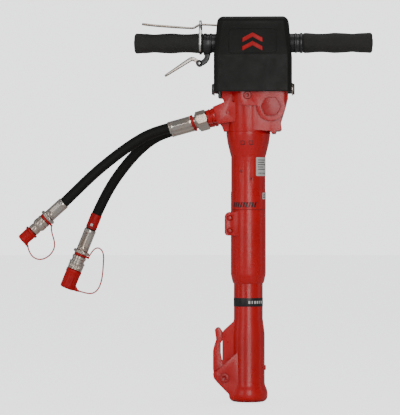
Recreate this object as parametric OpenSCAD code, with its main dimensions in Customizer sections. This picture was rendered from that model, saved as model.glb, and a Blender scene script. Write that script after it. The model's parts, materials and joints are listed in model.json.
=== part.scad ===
// Hand-held hydraulic breaker hammer for 28 mm hexagon shank tools.
// The origin is the centre of the chuck's mouth. +Z runs up the hammer, -Y is its front.

/* [Tool shank] */
// Size across the flats of the hexagonal tool socket
hex_af = 28.4; // [28.2:0.1:28.8]
// Radius of the mouth that guides the tool's collar
collar_r = 23; // [22.6:0.1:23.2]
// Height of the collar seat, where the socket starts
seat_z = 78; // [76:1:82]

/* [Front head] */
// Radius of the chuck
chuck_r = 29.9; // [29.5:0.1:31]
// Radius of the lip around the mouth
lip_r = 35.3; // [34:0.1:37]
// Radius of the neck above the chuck
neck_r = 26.4; // [26.2:0.1:27]
// Height at which the neck meets the lower housing
neck_top = 215; // [212:1:218]

/* [Latch] */
// Distance of the latch pin from the hammer's axis
latch_pin_x = 43; // [42.5:0.1:43.5]
// Height of the latch pin
latch_pin_z = 44; // [43.5:0.1:44.5]
// Width of the latch
latch_w = 22; // [20:0.5:22]
// Width over both cheeks
cheek_w = 49.2; // [46:0.2:52]

/* [Housings] */
// Radius of both housings
housing_r = 31.9; // [31.5:0.1:33]
// Height of the seam between the housings
seam_z = 349; // [346:1:352]
// Height of the upper housing's top
housing_top = 491; // [489:1:493]

/* [Percussion] */
// Radius of the piston's nose, which strikes the tool
nose_r = 14; // [13:0.1:14]
// Radius of the piston's land
land_r = 18; // [17.5:0.1:18.5]
// Radius of the piston's rod
rod_r = 12; // [11:0.1:12.5]
// Length of the piston's stroke
stroke = 30; // [24:1:30]

/* [Valve block] */
// Height of the valve block's top
block_top = 596; // [594:1:598]
// Half of the valve block's depth
block_y = 38.6; // [38:0.2:40]
// Sideways place of the hexagon plug
plug_x = 42; // [40:0.5:43]
// Height of the hexagon plug
plug_z = 535; // [533:1:537]

/* [Hydraulic connections] */
// Distance of each port from the middle plane
port_y = 22; // [19:0.5:23]
// Slope of the port axes below horizontal
port_drop = 15.5; // [14:0.5:17]
// Outer diameter of the hoses
hose_d = 19; // [18:0.5:19]
// Slope of the pressure hose's end below horizontal
drop_1 = 42; // [41:0.5:43]
// Slope of the return hose's end below horizontal
drop_2 = 68; // [67:0.5:69]

/* [Handle] */
// Sideways place of the middle of the handle and the hood
head_x = 9; // [7:0.5:11]
// Height of the handle bar
bar_z = 652; // [650:1:654]
// Radius of the handle bar
bar_r = 12.5; // [12:0.1:13]
// Half of the span over both grips
half_span = 217.5; // [210:0.5:225]
// Length of each grip
grip_len = 127.5; // [124:0.5:130]

/* [Hood] */
// Height of the hood's lower edge
hood_z = 562; // [560:1:564]
// Height of the hood's top
hood_top = 699; // [697:1:702]
// Half of the hood's width at its lower edge
hood_w = 70; // [69:0.5:71]
// Half of the hood's depth at its lower edge
hood_d = 53; // [52:0.5:56]
// Wall thickness of the hood
hood_wall = 3; // [2.5:0.1:3]

/* [Hidden] */

$fn = 64;
// Radial clearance of a running fit, and of a joint between fixed pieces
run_fit = 0.05;
set_fit = 0.03;
// Gap between pieces on different bodies
gap = 0.4;
// Overshoot of a cutting shape past the face that it cuts
cut = 1;

// Front head
lip_z = 19;
chuck_top = 127;
relief_r = 24.2;
mouth_z = 42;
bushing_r = 20;
bushing_top = 226;
spigot_r = 24;
spigot_top = 240;
chamber_r = 17;
band_z = 173.5;
band_h = 15.5;
pin_z = 110;
pin_r = 3;

// Latch
cheek_in = latch_w / 2 + gap;
rib_x = -46.8;
rib_y = cheek_in + 2.5;
hook_x = -19;
hook_z = 66;
slot_z = 45;
slot_h = 34;
latch_pin_r = 5;

// Housings
bore_r = 23;
seal_in = 25;
seal_out = 28;
seal_h = 2.5;
bush_z = 300;
liner_top = 470;
guide_top = 500;
piston_top = 480;
lug_x = -33;
lug_bolt_z = [311, 334];

// Valve block
plate_y = 44;
crown_r = 40.2;
box_x = -10.7;
shoulder_y = 28;
gusset_y = 20;
manifold_y = 33.4;
spool_r = 10;
spool_from = -24;
spool_len = 38;
stem_r = 12;
stem_y = -28;
acc_at = [20, 0, block_top];
acc_r = 28;
bolt_z = 568;
bush_out = 13;
bolt_r = 6;

// Port chain, as distances outwards from the port's face
port_x = -59.5;
port_z = 520.5;
// How far the rear port lies below the front one, along the manifold's face
port_step = 5.2;
adapter_len = 16;
nut_from = 16;
nut_len = 18.8;
ring_from = 40;
ring_len = 4.3;
ring_r = 11.8;
ferrule_from = ring_from + ring_len;
inner_ferrule_len = 43;
ferrule_r = 11;
neck_pipe_r = 8;
nut_af = 27;
way_r = 5;

// Hose ends, as distances outwards from the end of each hose's bend
end_1 = [-331.5, -50, 361.5];
end_2 = [-280.4, 40, 341.1];
marker_len = 29;
tail_2 = 31;
outer_ferrule_len = 36.5;
return_ferrule_len = 42;
hex_len = 5.5;
coupler_gap = 0.5;
nose_1_r = 8.5;
socket_2_r = 9.2;

// Handle and hood
wall_x = 58.5;
wall_t = 4.5;
collar_out_r = 18.5;
collar_end = 90;
collar_grooves = [[76, 79], [86, collar_end]];
grip_r = 17.6;
grip_swell = 0.8;
crease_z = 628;
hood_top_w = 65;
hood_top_d = 39;
hood_round = 12;
hood_corner = 8;
lean = atan((hood_d - hood_top_d) / (hood_top - hood_round - crease_z));

// Controls
lever_pin_at = [-5, 0, 681];
lever_pin_r = 3;
lever_w = 21;
lever_t = 2.6;
tab_y = 24;
tab_x = [-41, -29];
lever_line = [
    [-194, 687.4], [-169, 684.5], [-117, 680.5], [-99, 679.4], [-90, 686], [-77, 686], [-5, 681],
];
plunger_at = [-35, 18, 0];
plunger_r = 4;
plunger_top = 681.3;
guide_x = -87;
guide_w = 4.4;
guide_r = 18.7;
guide_t = 2;
trigger_x = -89;
trigger_z = 615.4;
trigger_pin_r = 2.5;
bracket_y = 8.5;
blade_y = 4;
boss_r = 6.3;
strap_x = [-81, -69];
trigger_line = [[trigger_x, trigger_z], [-101, 625.7], [-152, 592.5]];

// Pressure hose, from its inner ferrule to its outer one
route_1 = [
    [-143.5, -22, 497.2], [-158.1, -22, 493.3], [-172.2, -23, 488.6], [-186.3, -24, 482.4],
    [-200.4, -26, 474], [-214.5, -28, 464.6], [-228.6, -31, 454.6], [-242.7, -34, 443.4],
    [-256.8, -37, 432.1], [-270.9, -40, 420.2], [-284, -43, 408.1], [-296.1, -45.5, 396.4],
    [-307.2, -47.5, 385.2], [-317.3, -49, 375.3], [-326.4, -50, 366.4], end_1,
];
// Return hose, from its inner ferrule to the end of its bend
route_2 = [
    [-142.2, 22, 492.2], [-155.7, 22, 487.9], [-167.4, 22.5, 482.8], [-178.5, 23, 476.3],
    [-189.2, 24, 468.3], [-199.4, 25, 459.5], [-209.1, 26, 449.8], [-218.3, 27.5, 439.7],
    [-226.9, 29, 429.3], [-235.6, 31, 418.5], [-243.8, 33, 407.4], [-251.5, 35, 396],
    [-258.7, 36.5, 384.1], [-265.4, 38, 371.9], [-271.5, 39, 359.7], [-276.2, 40, 350.2], end_2,
];
// Lanyard of the pressure coupler's cap, from the cap to the ring
route_3 = [
    [-397.3, -50, 282.8], [-395.8, -50, 276.5], [-392.5, -50, 269], [-388, -50, 263.3],
    [-381.5, -50, 259.7], [-374.8, -50, 258.6], [-367.5, -50, 260], [-360.5, -50, 263.8],
    [-354.5, -50, 269.5], [-350.2, -50, 276], [-348.2, -50, 283], [-348.4, -50, 290],
    [-350, -50, 296.5], [-352.3, -50, 303], [-353.9, -50, 309.5], [-354.5, -50, 315],
    [-354.1, -50, 320.1],
];
// Lanyard of the return coupler's cap, from the cap to the ring
route_4 = [
    [-314.2, 40, 199.2], [-308, 40, 197.3], [-301.5, 40, 195.6], [-295, 40, 194.4],
    [-288.5, 40, 194.2], [-282.5, 40, 197.5], [-278, 40, 202.5], [-274.8, 40, 208.5],
    [-272.3, 40, 216], [-270.6, 40, 224], [-269.5, 40, 232.5], [-268.8, 40, 242],
    [-268.2, 40, 251], [-267.8, 40, 260], [-268, 40, 267.5], [-270.3, 40, 273.5],
    [-274.5, 40, 278], [-280, 40, 279.5], [-285, 40, 276.5], [-289.2, 40, 271.6],
    [-292.6, 40, 266.2], [-296.4, 40, 260.2],
];
lanyard_r = 1.25;

// Points of an arc about centre, in the plane of an outline
function arc(centre, r, from, to, steps = 6) =
    [for (i = [0:steps]) let (a = from + (to - from) * i / steps) centre + r * [cos(a), sin(a)]];

// Outline of a rectangle with round corners, about its own centre
function round_rect(w, d, r) = concat(
    arc([w / 2 - r, d / 2 - r], r, 0, 90),
    arc([r - w / 2, d / 2 - r], r, 90, 180),
    arc([r - w / 2, r - d / 2], r, 180, 270),
    arc([w / 2 - r, r - d / 2], r, 270, 360)
);

function unit(v) = v / norm(v);

// Outline of a bent strip of width w along a line of points, with mitred bends
function edge_normal(line, i) = let (d = unit(line[i + 1] - line[i])) [-d[1], d[0]];
function mitre(line, i) =
    let (before = edge_normal(line, max(i - 1, 0)),
        after = edge_normal(line, min(i, len(line) - 2)),
        middle = unit(before + after))
    middle / (middle * after);
function ribbon(line, w) = concat(
    [for (i = [0:len(line) - 1]) line[i] + w / 2 * mitre(line, i)],
    [for (i = [len(line) - 1:-1:0]) line[i] - w / 2 * mitre(line, i)]
);

// Tube swept along a route that stays near the XZ plane
function heading(path, i) = unit(path[min(i + 1, len(path) - 1)] - path[max(i - 1, 0)]);
function sweep_ring(path, i, r, sides) =
    let (t = heading(path, i), u = unit(cross(t, [0, 1, 0])), v = cross(t, u))
    [for (k = [0:sides - 1]) path[i] + r * (cos(360 * k / sides) * u + sin(360 * k / sides) * v)];
function sweep_wall(i, k, sides) =
    let (a = i * sides + k, b = i * sides + (k + 1) % sides)
    [[b + sides, b, a], [a + sides, b + sides, a]];

module tube(path, r, sides) {
    last = (len(path) - 1) * sides;
    points = [for (i = [0:len(path) - 1]) each sweep_ring(path, i, r, sides)];
    walls = [for (i = [0:len(path) - 2]) for (k = [0:sides - 1]) each sweep_wall(i, k, sides)];
    first_cap = [for (k = [0:sides - 1]) k];
    last_cap = [for (k = [0:sides - 1]) last + sides - 1 - k];
    polyhedron(points, concat(walls, [first_cap, last_cap]));
}

// Ring or washer standing on z = 0
module ring(r_out, r_in, h) {
    difference() {
        cylinder(r = r_out, h = h);
        translate([0, 0, -cut]) cylinder(r = r_in, h = h + 2 * cut);
    }
}

// Hexagonal prism standing on z = 0
module hexagon(af, h) {
    cylinder(r = af / sqrt(3), h = h, $fn = 6);
}

// An outline drawn in X and Z, as a plate from y0 to y1
module plate_xz(y0, y1) {
    translate([0, y1, 0]) rotate([90, 0, 0]) linear_extrude(y1 - y0) children();
}

// A rod along Y through (x, z), from y0 to y1
module rod_y(x, z, r, y0, y1) {
    translate([x, y0, z]) rotate([-90, 0, 0]) cylinder(r = r, h = y1 - y0);
}

// A rod along X through (y, z), from x0 to x1
module rod_x(y, z, r, x0, x1) {
    translate([x0, y, z]) rotate([0, 90, 0]) cylinder(r = r, h = x1 - x0);
}

// Local +Z runs outwards along a fitting whose axis slopes down to the left
module outwards(place, drop, from = 0) {
    translate(place) rotate([0, -90 - drop, 0]) translate([0, 0, from]) children();
}

// A port's place, which is lower on the manifold's face for the rear one
function port_at(y) = [
    port_x + (y > 0 ? port_step * sin(port_drop) : 0), y,
    port_z - (y > 0 ? port_step * cos(port_drop) : 0)
];

// Both ports, with local +Z running outwards
module at_ports(from = 0) {
    for (y = [-port_y, port_y]) outwards(port_at(y), port_drop, from) children();
}

// Both sides of the hood, with the right side mirrored about the hood's middle
module at_sides() {
    translate([head_x, 0, 0]) for (side = [0, 1]) mirror([side, 0, 0]) children();
}

module front_head() {
    shell = concat(
        [[collar_r, 0]],
        arc([lip_r - 10.3, 10.3], 10.3, -90, 0),
        [[lip_r, lip_z - 3], [lip_r - 0.7, lip_z + 1.5], [lip_r - 2.4, lip_z + 6]],
        [[chuck_r + 1, lip_z + 10.5], [chuck_r, lip_z + 16], [chuck_r, chuck_top - 3]],
        [[chuck_r - 0.6, chuck_top + 2], [neck_r + 0.7, chuck_top + 20]],
        [[neck_r, chuck_top + 23], [neck_r, neck_top]],
        [[spigot_r - set_fit, neck_top], [spigot_r - set_fit, spigot_top]],
        [[chamber_r, spigot_top], [chamber_r, bushing_top], [bushing_r, bushing_top]],
        [[bushing_r, seat_z], [relief_r, seat_z], [relief_r, mouth_z], [collar_r, mouth_z]]
    );
    cheek = [
        [-57.3, 55.7], [-18.4, 90.3], [-17, 8], [-29.1, 3.5],
        [-32.9, 12.9], [-56.1, 36.6], [-62, 44], [-63.3, 51.9], [-61, 55.5],
    ];
    rib = [[-26.2, 146.5], [-43.9, 130.5], [rib_x, 127], [rib_x, 60], [-20, 60], [-20, 146.5]];
    web = [[-20, 8], [-29.1, 3.5], [-32.9, 12.9], [-46, 26.5], [-40, 30], [-20, 30]];
    color("firebrick") difference() {
        union() {
            rotate_extrude() polygon(shell);
            for (side = [0, 1]) mirror([0, side, 0])
                plate_xz(-cheek_w / 2, -cheek_in) polygon(cheek);
            plate_xz(-rib_y, rib_y) polygon(rib);
            plate_xz(-cheek_in - 1, cheek_in + 1) polygon(web);
            rod_x(0, 62, 4.5, chuck_r - 2, chuck_r + 2.2);
        }
        translate([0, 0, -cut]) cylinder(r = collar_r, h = mouth_z + 2 * cut);
        translate([0, 0, mouth_z]) cylinder(r = relief_r, h = seat_z - mouth_z);
        translate([0, 0, seat_z - cut]) cylinder(r = bushing_r, h = bushing_top - seat_z + cut);
        translate([-60, -cheek_in, slot_z]) cube([60, 2 * cheek_in, slot_h]);
        rod_y(-latch_pin_x, latch_pin_z, latch_pin_r + set_fit, -cheek_w, cheek_w);
        rod_y(0, pin_z, pin_r, 0, chuck_r + cut);
    }
}

module neck_band() {
    color("#1c1c1e") translate([0, 0, band_z]) ring(neck_r + 0.4, neck_r, band_h);
}

module chuck_bushing() {
    color("slategray") difference() {
        translate([0, 0, seat_z]) cylinder(r = bushing_r - set_fit, h = bushing_top - seat_z);
        translate([0, 0, seat_z - cut]) hexagon(hex_af, bushing_top - seat_z + 2 * cut);
        rod_y(0, pin_z, pin_r, hex_af / 2, chuck_r);
    }
}

module bushing_pin() {
    color("gray") rod_y(0, pin_z, pin_r - set_fit, hex_af / 2 + 0.5, chuck_r - 0.5);
}

module latch() {
    outline = concat(
        [[-47.6, 127.5], [-47.6, 110.7], [-50.5, 105.6], [-50.5, 88], [-48.5, 76], [-45, 68.5]],
        [[-41, hook_z], [hook_x + 1.5, hook_z], [hook_x, hook_z - 1.5], [hook_x, 54]],
        [[hook_x - 2, 52], [-31, 50]],
        arc([-latch_pin_x, latch_pin_z], 9.5, 10, -120),
        [[-56, 39], [-62.4, 49], [-64, 60], [-64, 92.8], [-62.4, 100.5], [-58.2, 113.2]],
        [[-59.9, 124.7], [-60.6, 131]],
        arc([-55.2, 130], 5, 150, 30)
    );
    color("firebrick") difference() {
        plate_xz(-latch_w / 2, latch_w / 2) polygon(outline);
        rod_y(-latch_pin_x, latch_pin_z, latch_pin_r + run_fit, -latch_w, latch_w);
        rod_y(-53, 50, 3, -latch_w, -latch_w / 2 + 6);
    }
}

module latch_pin() {
    head_y = -cheek_w / 2;
    color("darkred") difference() {
        union() {
            rod_y(-latch_pin_x, latch_pin_z, latch_pin_r, head_y - 1, cheek_w / 2 + 4);
            rod_y(-latch_pin_x, latch_pin_z, 8.3, head_y - 3.4, head_y);
            rod_y(-latch_pin_x, latch_pin_z, 7.5, cheek_w / 2, cheek_w / 2 + 2);
        }
        translate([-latch_pin_x, head_y - 1.2, latch_pin_z]) rotate([90, 0, 0]) hexagon(7, 4);
    }
}

module latch_pad() {
    color("#303030") rod_y(-53, 50, 3 - set_fit, -latch_w / 2, -latch_w / 2 + 5.5);
}

module lower_housing() {
    shell = [
        [neck_r + 0.9, neck_top], [neck_r + 2.6, neck_top + 3.5],
        [housing_r - 1.3, neck_top + 11], [housing_r - 0.3, neck_top + 15],
        [housing_r, neck_top + 18], [housing_r, seam_z - 0.6],
        [housing_r - 0.6, seam_z], [seal_out, seam_z], [seal_out, seam_z - seal_h],
        [seal_in, seam_z - seal_h], [seal_in, seam_z], [bore_r, seam_z], [bore_r, spigot_top],
        [spigot_r, spigot_top], [spigot_r, neck_top],
    ];
    lug = concat(
        [[-17, 302], [-17, 345]],
        arc([-33, 336], 9, 90, 180),
        arc([-36, 308], 6, 180, 270)
    );
    color("firebrick") difference() {
        union() {
            rotate_extrude() polygon(shell);
            difference() {
                plate_xz(-26.5, 8) polygon(lug);
                translate([0, 0, bush_z]) cylinder(r = housing_r - 2, h = 47);
            }
        }
        for (z = lug_bolt_z) rod_y(lug_x, z, 3, -30, -4);
    }
}

module lug_bolts() {
    color("darkred") for (z = lug_bolt_z) {
        rod_y(lug_x, z, 3 - set_fit, -26.6, -5);
        translate([lug_x, -26.5, z]) rotate([90, 0, 0]) rotate_extrude()
            polygon(concat([[0, 0], [5.3, 0], [5.3, 1]], arc([2.3, 1], 3, 0, 90), [[0, 4]]));
    }
}

module lower_seal_bush() {
    color("peru") translate([0, 0, spigot_top])
        ring(bore_r - set_fit, nose_r + run_fit, bush_z - spigot_top);
}

module cylinder_liner() {
    color("lightsteelblue") translate([0, 0, bush_z])
        ring(bore_r - set_fit, land_r + run_fit, liner_top - bush_z);
}

module piston() {
    shape = [
        [0, 236], [nose_r - 1.5, 236], [nose_r, 237.5], [nose_r, 330],
        [land_r, 330], [land_r, 345], [16.5, 345], [16.5, 348], [land_r, 348],
        [land_r, 385], [16.5, 385], [16.5, 388], [land_r, 388], [land_r, 400],
        [rod_r, 400], [rod_r, piston_top - 1], [rod_r - 1, piston_top], [0, piston_top],
    ];
    color("silver") rotate_extrude() polygon(shape);
}

module piston_rings() {
    color("dimgray") for (z = [345, 385]) translate([0, 0, z]) ring(land_r + 0.01, 16.5, 3);
}

module upper_guide_bush() {
    color("peru") translate([0, 0, liner_top])
        ring(bore_r - set_fit, rod_r + run_fit, guide_top - liner_top);
}

module housing_seal() {
    color("#222222") translate([0, 0, seam_z - seal_h]) ring(seal_out, seal_in, seal_h);
}

module upper_housing() {
    shell = [
        [bore_r, seam_z], [housing_r - 0.6, seam_z], [housing_r, seam_z + 0.6],
        [housing_r, 381], [housing_r - 0.7, 383], [housing_r - 0.7, 444.5],
        [33, 451], [35, 459], [37.7, 470], [crown_r, 488], [crown_r - 0.6, housing_top],
        [bore_r, housing_top],
    ];
    color("firebrick") difference() {
        rotate_extrude() polygon(shell);
        rod_y(-11.6, 419, 3, -40, -25.5);
        rod_y(6.7, 405, 3, -40, -25.5);
    }
}

module housing_plugs() {
    color("darkred") {
        rod_y(-11.6, 419, 3 - set_fit, -29.8, -25.5);
        rod_y(6.7, 405, 3 - set_fit, -31.2, -25.5);
    }
}

module type_plate() {
    start = 62;
    color("gainsboro") translate([0, 0, 410]) rotate([0, 0, -start])
        rotate_extrude(angle = start - 4) translate([housing_r - 0.68, 0]) square([0.5, 34]);
}

module valve_block() {
    front = [
        [box_x, 495.5], [box_x, block_top], [66, block_top], [72, 553], [66, 530],
        [59, 508], [60.5, 495], [57.5, 492], [51, 491.5], [49.5, 487.3], [43, 487], [42, 491],
    ];
    shoulder = [[0, 540], [-41, 540], [-47, 552], [-47, block_top], [0, block_top]];
    gusset = [[-54, 508], [-51, 504.5], [-47, 499], [-44, 491], [-30, 491], [-30, 508]];
    manifold = [
        [-63.3, 535.2], [-34.2, 547.6], [-22, 541.8], [-22, 509], [-55.2, 504.7],
    ];
    color("firebrick") difference() {
        union() {
            translate([0, 0, housing_top]) cylinder(r = crown_r, h = block_top - housing_top);
            intersection() {
                plate_xz(-block_y, block_y) polygon(front);
                translate([box_x, 0, 480]) linear_extrude(120)
                    translate([42, 0]) polygon(round_rect(84, 2 * block_y, 8));
            }
            plate_xz(-shoulder_y, shoulder_y) polygon(shoulder);
            plate_xz(-manifold_y, manifold_y) polygon(manifold);
            plate_xz(-gusset_y, gusset_y) polygon(gusset);
            at_sides() rod_x(0, bolt_z, bush_out + 4.5, -wall_x + 1, -35);
        }
        translate([0, 0, 480]) cylinder(r = bore_r, h = guide_top - 480);
        translate([0, 0, guide_top - cut])
            cylinder(r = nose_r, h = piston_top + stroke + 12 - guide_top + cut);
        rod_y(plug_x, plug_z, stem_r, -60, stem_y);
        rod_y(plug_x, plug_z, spool_r, -60, 26);
        at_ports(-40) cylinder(r = neck_pipe_r, h = 50);
        for (y = [-14, 14]) rod_x(y, 531, 4.5, -22, plug_x);
        translate([6, 0, 508]) rotate([0, 55, 0]) cylinder(r = 4, h = 36);
        translate(acc_at + [0, 0, -14]) cylinder(r = acc_r - 6, h = 16);
        translate(plunger_at + [0, 0, block_top - 26]) cylinder(r = plunger_r + run_fit, h = 30);
        at_sides() rod_x(0, bolt_z, bush_out, -wall_x, -38);
        at_sides() translate([-wall_x - 10, -27, 551]) cube([10 + gap, 54, 50]);
        rod_y(-0.5, 555.6, 4, -60, -25);
        rod_y(-37, 525, 3, -60, -28);
    }
}

module front_plate() {
    color("firebrick") difference() {
        plate_xz(-plate_y, -block_y) union() {
            translate([plug_x, plug_z]) circle(25.5);
            translate([25.4, 560]) polygon(round_rect(78.8, 46, 8));
            translate([44, 560]) square([20.8, 60], center = true);
        }
        cylinder(r = crown_r + set_fit, h = block_top + cut);
        rod_y(plug_x, plug_z, stem_r, -60, 0);
        rod_y(-0.5, 555.6, 4, -60, 0);
        rod_y(-0.5, 555.6, 7.3, -60, -plate_y + 2);
    }
}

module block_screws() {
    color("darkred") {
        difference() {
            union() {
                rod_y(-0.5, 555.6, 4 - set_fit, -plate_y + 2, -26);
                rod_y(-0.5, 555.6, 6.5, -plate_y - 4, -plate_y + 2);
            }
            translate([-0.5, -plate_y - 1, 555.6]) rotate([90, 0, 0]) hexagon(6, 5);
        }
        rod_y(-37, 525, 3 - set_fit, -32.6, -29);
    }
}

module hex_plug() {
    color("darkred") {
        intersection() {
            translate([plug_x, -plate_y, plug_z]) rotate([90, 0, 0]) hexagon(32, 5.5);
            rod_y(plug_x, plug_z, 17.4, -plate_y - 5.5, -plate_y);
        }
        rod_y(plug_x, plug_z, stem_r - set_fit, -plate_y - 1, stem_y);
    }
}

module valve_spool() {
    lands = [0, 15, 30];
    color("silver") {
        rod_y(plug_x, plug_z, 6, spool_from, spool_from + spool_len);
        for (y = lands) rod_y(plug_x, plug_z, spool_r - run_fit, spool_from + y, spool_from + y + 8);
    }
}

module accumulator_diaphragm() {
    color("#222222") translate(acc_at) cylinder(r = acc_r, h = 2);
}

module accumulator_cap() {
    color("slategray") difference() {
        translate(acc_at + [0, 0, 2]) union() {
            cylinder(r = acc_r, h = 7);
            cylinder(r1 = acc_r - 8, r2 = acc_r - 11, h = 22);
            cylinder(r = 5, h = 27);
        }
        translate(acc_at + [0, 0, 1]) cylinder(r = acc_r - 14, h = 16);
    }
}

module accumulator_screws() {
    color("silver") for (i = [0:5])
        translate(acc_at + [0, 0, 9]) rotate([0, 0, 60 * i + 30]) translate([acc_r - 4, 0, 0])
            difference() {
                cylinder(r = 3.2, h = 4);
                translate([0, 0, 2]) hexagon(3.4, 3);
            }
}

module port_adapters() {
    color("firebrick") at_ports() difference() {
        union() {
            translate([0, 0, -14]) cylinder(r = neck_pipe_r - set_fit, h = 15);
            cylinder(r = 13.75, h = 9);
            cylinder(r = 13, h = adapter_len);
        }
        translate([0, 0, -15]) cylinder(r = way_r, h = 40);
    }
}

module hose_nuts() {
    color("silver") at_ports(nut_from) difference() {
        hexagon(nut_af, nut_len);
        translate([0, 0, -cut]) cylinder(r = neck_pipe_r, h = nut_len + 2 * cut);
    }
}

module hose_rings() {
    color("red") at_ports(ring_from) ring(ring_r, neck_pipe_r, ring_len);
}

// Ferrule whose crimped shell starts at local z = 0, with a pipe of length neck before it
module ferrule(h, neck) {
    difference() {
        union() {
            cylinder(r = ferrule_r, h = h);
            translate([0, 0, -neck]) cylinder(r = neck_pipe_r - set_fit, h = neck + 1);
        }
        translate([0, 0, -neck - cut]) cylinder(r = way_r, h = neck + h + 2 * cut);
    }
}

module hose_ferrules() {
    color("silver") {
        at_ports(ferrule_from) ferrule(inner_ferrule_len, 26);
        outwards(end_1, drop_1) ring(ferrule_r, way_r, outer_ferrule_len);
        outwards(end_2, drop_2, tail_2) ring(ferrule_r, way_r, return_ferrule_len);
    }
}

module hose_1() {
    color("#161616") tube(route_1, hose_d / 2, 10);
}

module hose_2() {
    tail = end_2 + tail_2 * [-cos(drop_2), 0, -sin(drop_2)];
    color("#161616") tube(concat(route_2, [tail]), hose_d / 2, 10);
}

module hose_marker() {
    color("red") outwards(end_2, drop_2, 1) ring(hose_d / 2 + 0.8, hose_d / 2 + set_fit, marker_len - 1);
}

// Hexagon and neck that every coupler has, starting at local z = 0
module coupler_root(neck) {
    intersection() {
        hexagon(nut_af, hex_len);
        cylinder(r = nut_af / sqrt(3) - 0.5, h = hex_len);
    }
    cylinder(r = neck_pipe_r, h = hex_len + neck);
}

module coupler_1() {
    color("silver") outwards(end_1, drop_1, outer_ferrule_len) difference() {
        union() {
            coupler_root(6);
            translate([0, 0, hex_len + 5]) cylinder(r = 12.5, h = 15);
            translate([0, 0, hex_len + 20]) cylinder(r1 = 12.5, r2 = 10.5, h = 3);
            translate([0, 0, hex_len + 23]) cylinder(r = 10.5, h = 12);
            translate([0, 0, hex_len + 5]) cylinder(r = nose_1_r, h = 49.5);
        }
        translate([0, 0, -cut]) cylinder(r = way_r - 1, h = 65);
    }
}

module coupler_2() {
    color("silver") outwards(end_2, drop_2, tail_2 + return_ferrule_len) difference() {
        union() {
            coupler_root(6);
            translate([0, 0, hex_len + 5]) cylinder(r = 13, h = 6);
            translate([0, 0, hex_len + 5]) cylinder(r = 12, h = 27);
        }
        translate([0, 0, -cut]) cylinder(r = way_r - 1, h = 60);
        translate([0, 0, hex_len + 18]) cylinder(r = socket_2_r, h = 30);
    }
}

module coupler_sleeve() {
    from = tail_2 + return_ferrule_len + hex_len + 16.5;
    color("silver") outwards(end_2, drop_2, from) difference() {
        union() {
            cylinder(r = 14, h = 15);
            cylinder(r = 14.6, h = 4);
        }
        translate([0, 0, -cut]) cylinder(r = 12 + run_fit, h = 30);
    }
}

// Ring round a coupler's neck, with the eye that its lanyard ends in
module lanyard_ring() {
    difference() {
        union() {
            cylinder(r = ring_r, h = 4);
            translate([-15, -2, 0]) cube([8, 4, 4]);
        }
        translate([0, 0, -cut]) cylinder(r = neck_pipe_r + set_fit, h = 6);
    }
}

module lanyard_rings() {
    color("red") {
        outwards(end_1, drop_1, outer_ferrule_len + hex_len + coupler_gap) lanyard_ring();
        outwards(end_2, drop_2, tail_2 + return_ferrule_len + hex_len + coupler_gap) lanyard_ring();
    }
}

// Tapered tab that a cap's lanyard ends at, from its root to its tip in local X and Z
module cap_tab(root, tip) {
    hull() {
        translate([root[0], -3, root[1]]) cube([3, 6, 6]);
        translate([tip[0], -1.6, tip[1]]) cube([2, 3.2, 2.6]);
    }
}

module cap_1() {
    color("red") outwards(end_1, drop_1, outer_ferrule_len + hex_len + 35 + gap) difference() {
        union() {
            cylinder(r = 13, h = 4);
            rotate_extrude() polygon(concat([[0, 0], [11, 0]], arc([8, 22], 3, 0, 90), [[0, 25]]));
            cap_tab([-8, 17], [-12.9, 22.9]);
        }
        translate([0, 0, -cut]) cylinder(r = nose_1_r + gap, h = 20 + cut);
    }
}

// Local +Z runs outwards from the face of the return coupler's plug
module at_plug() {
    outwards(end_2, drop_2, tail_2 + return_ferrule_len + hex_len + 32 + gap) children();
}

module cap_2() {
    color("red") at_plug() difference() {
        union() {
            rotate_extrude() polygon(concat(
                [[0, 0], [14.6, 0], [14.6, 6], [14, 8]],
                arc([9, 32], 5, 0, 90), [[0, 37]]
            ));
            cap_tab([-12, 27], [-20.2, 32.1]);
        }
        translate([0, 0, -cut]) cylinder(r = socket_2_r - gap, h = 5 + cut);
    }
}

module plug_core() {
    color("#222222") at_plug() translate([0, 0, -12])
        cylinder(r = socket_2_r - gap - set_fit, h = 17);
}

module lanyard_1() {
    color("red") tube(route_3, lanyard_r, 8);
}

module lanyard_2() {
    color("red") tube(route_4, lanyard_r, 8);
}

module handle_bracket() {
    ear = [[-12, 635], [4, 635], [4, 682], [1, 688], [-9, 688], [-12, 684]];
    color("#2a2a2c") difference() {
        union() {
            at_sides() translate([-wall_x - wall_t, -26, 552]) cube([wall_t, 52, 120]);
            translate([head_x - wall_x - 1, -26, 632]) cube([2 * wall_x + 2, 52, 5]);
            plate_xz(-17, -13.5) polygon(ear);
            plate_xz(13.5, 17) polygon(ear);
        }
        rod_x(0, bar_z, bar_r + set_fit, -70, 90);
        rod_x(0, bolt_z, bolt_r + set_fit, -70, 90);
        rod_y(lever_pin_at[0], lever_pin_at[2], lever_pin_r + set_fit, -20, 20);
        translate(plunger_at + [0, 0, 620]) cylinder(r = plunger_r + gap, h = 30);
    }
}

module bracket_bolts() {
    washer_x = hood_w + 0.3;
    color("#2a2a2c") at_sides() {
        rod_x(0, bolt_z, bolt_r, -washer_x, -42);
        rod_x(0, bolt_z, 11.5, -washer_x - 2, -washer_x);
        translate([-washer_x - 5, 0, bolt_z]) rotate([0, 90, 0]) hexagon(18, 4);
    }
}

module bracket_bushes() {
    color("#222222") at_sides() difference() {
        rod_x(0, bolt_z, bush_out - set_fit, -wall_x + 0.2, -39);
        rod_x(0, bolt_z, bolt_r + set_fit, -wall_x - cut, -30);
    }
}

module handle_bar() {
    reach = half_span - 7;
    color("#3a3a3c") difference() {
        rod_x(0, bar_z, bar_r, head_x - reach, head_x + reach);
        rod_x(0, bar_z, bar_r - 2.5, head_x - reach - cut, head_x + reach + cut);
    }
}

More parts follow.
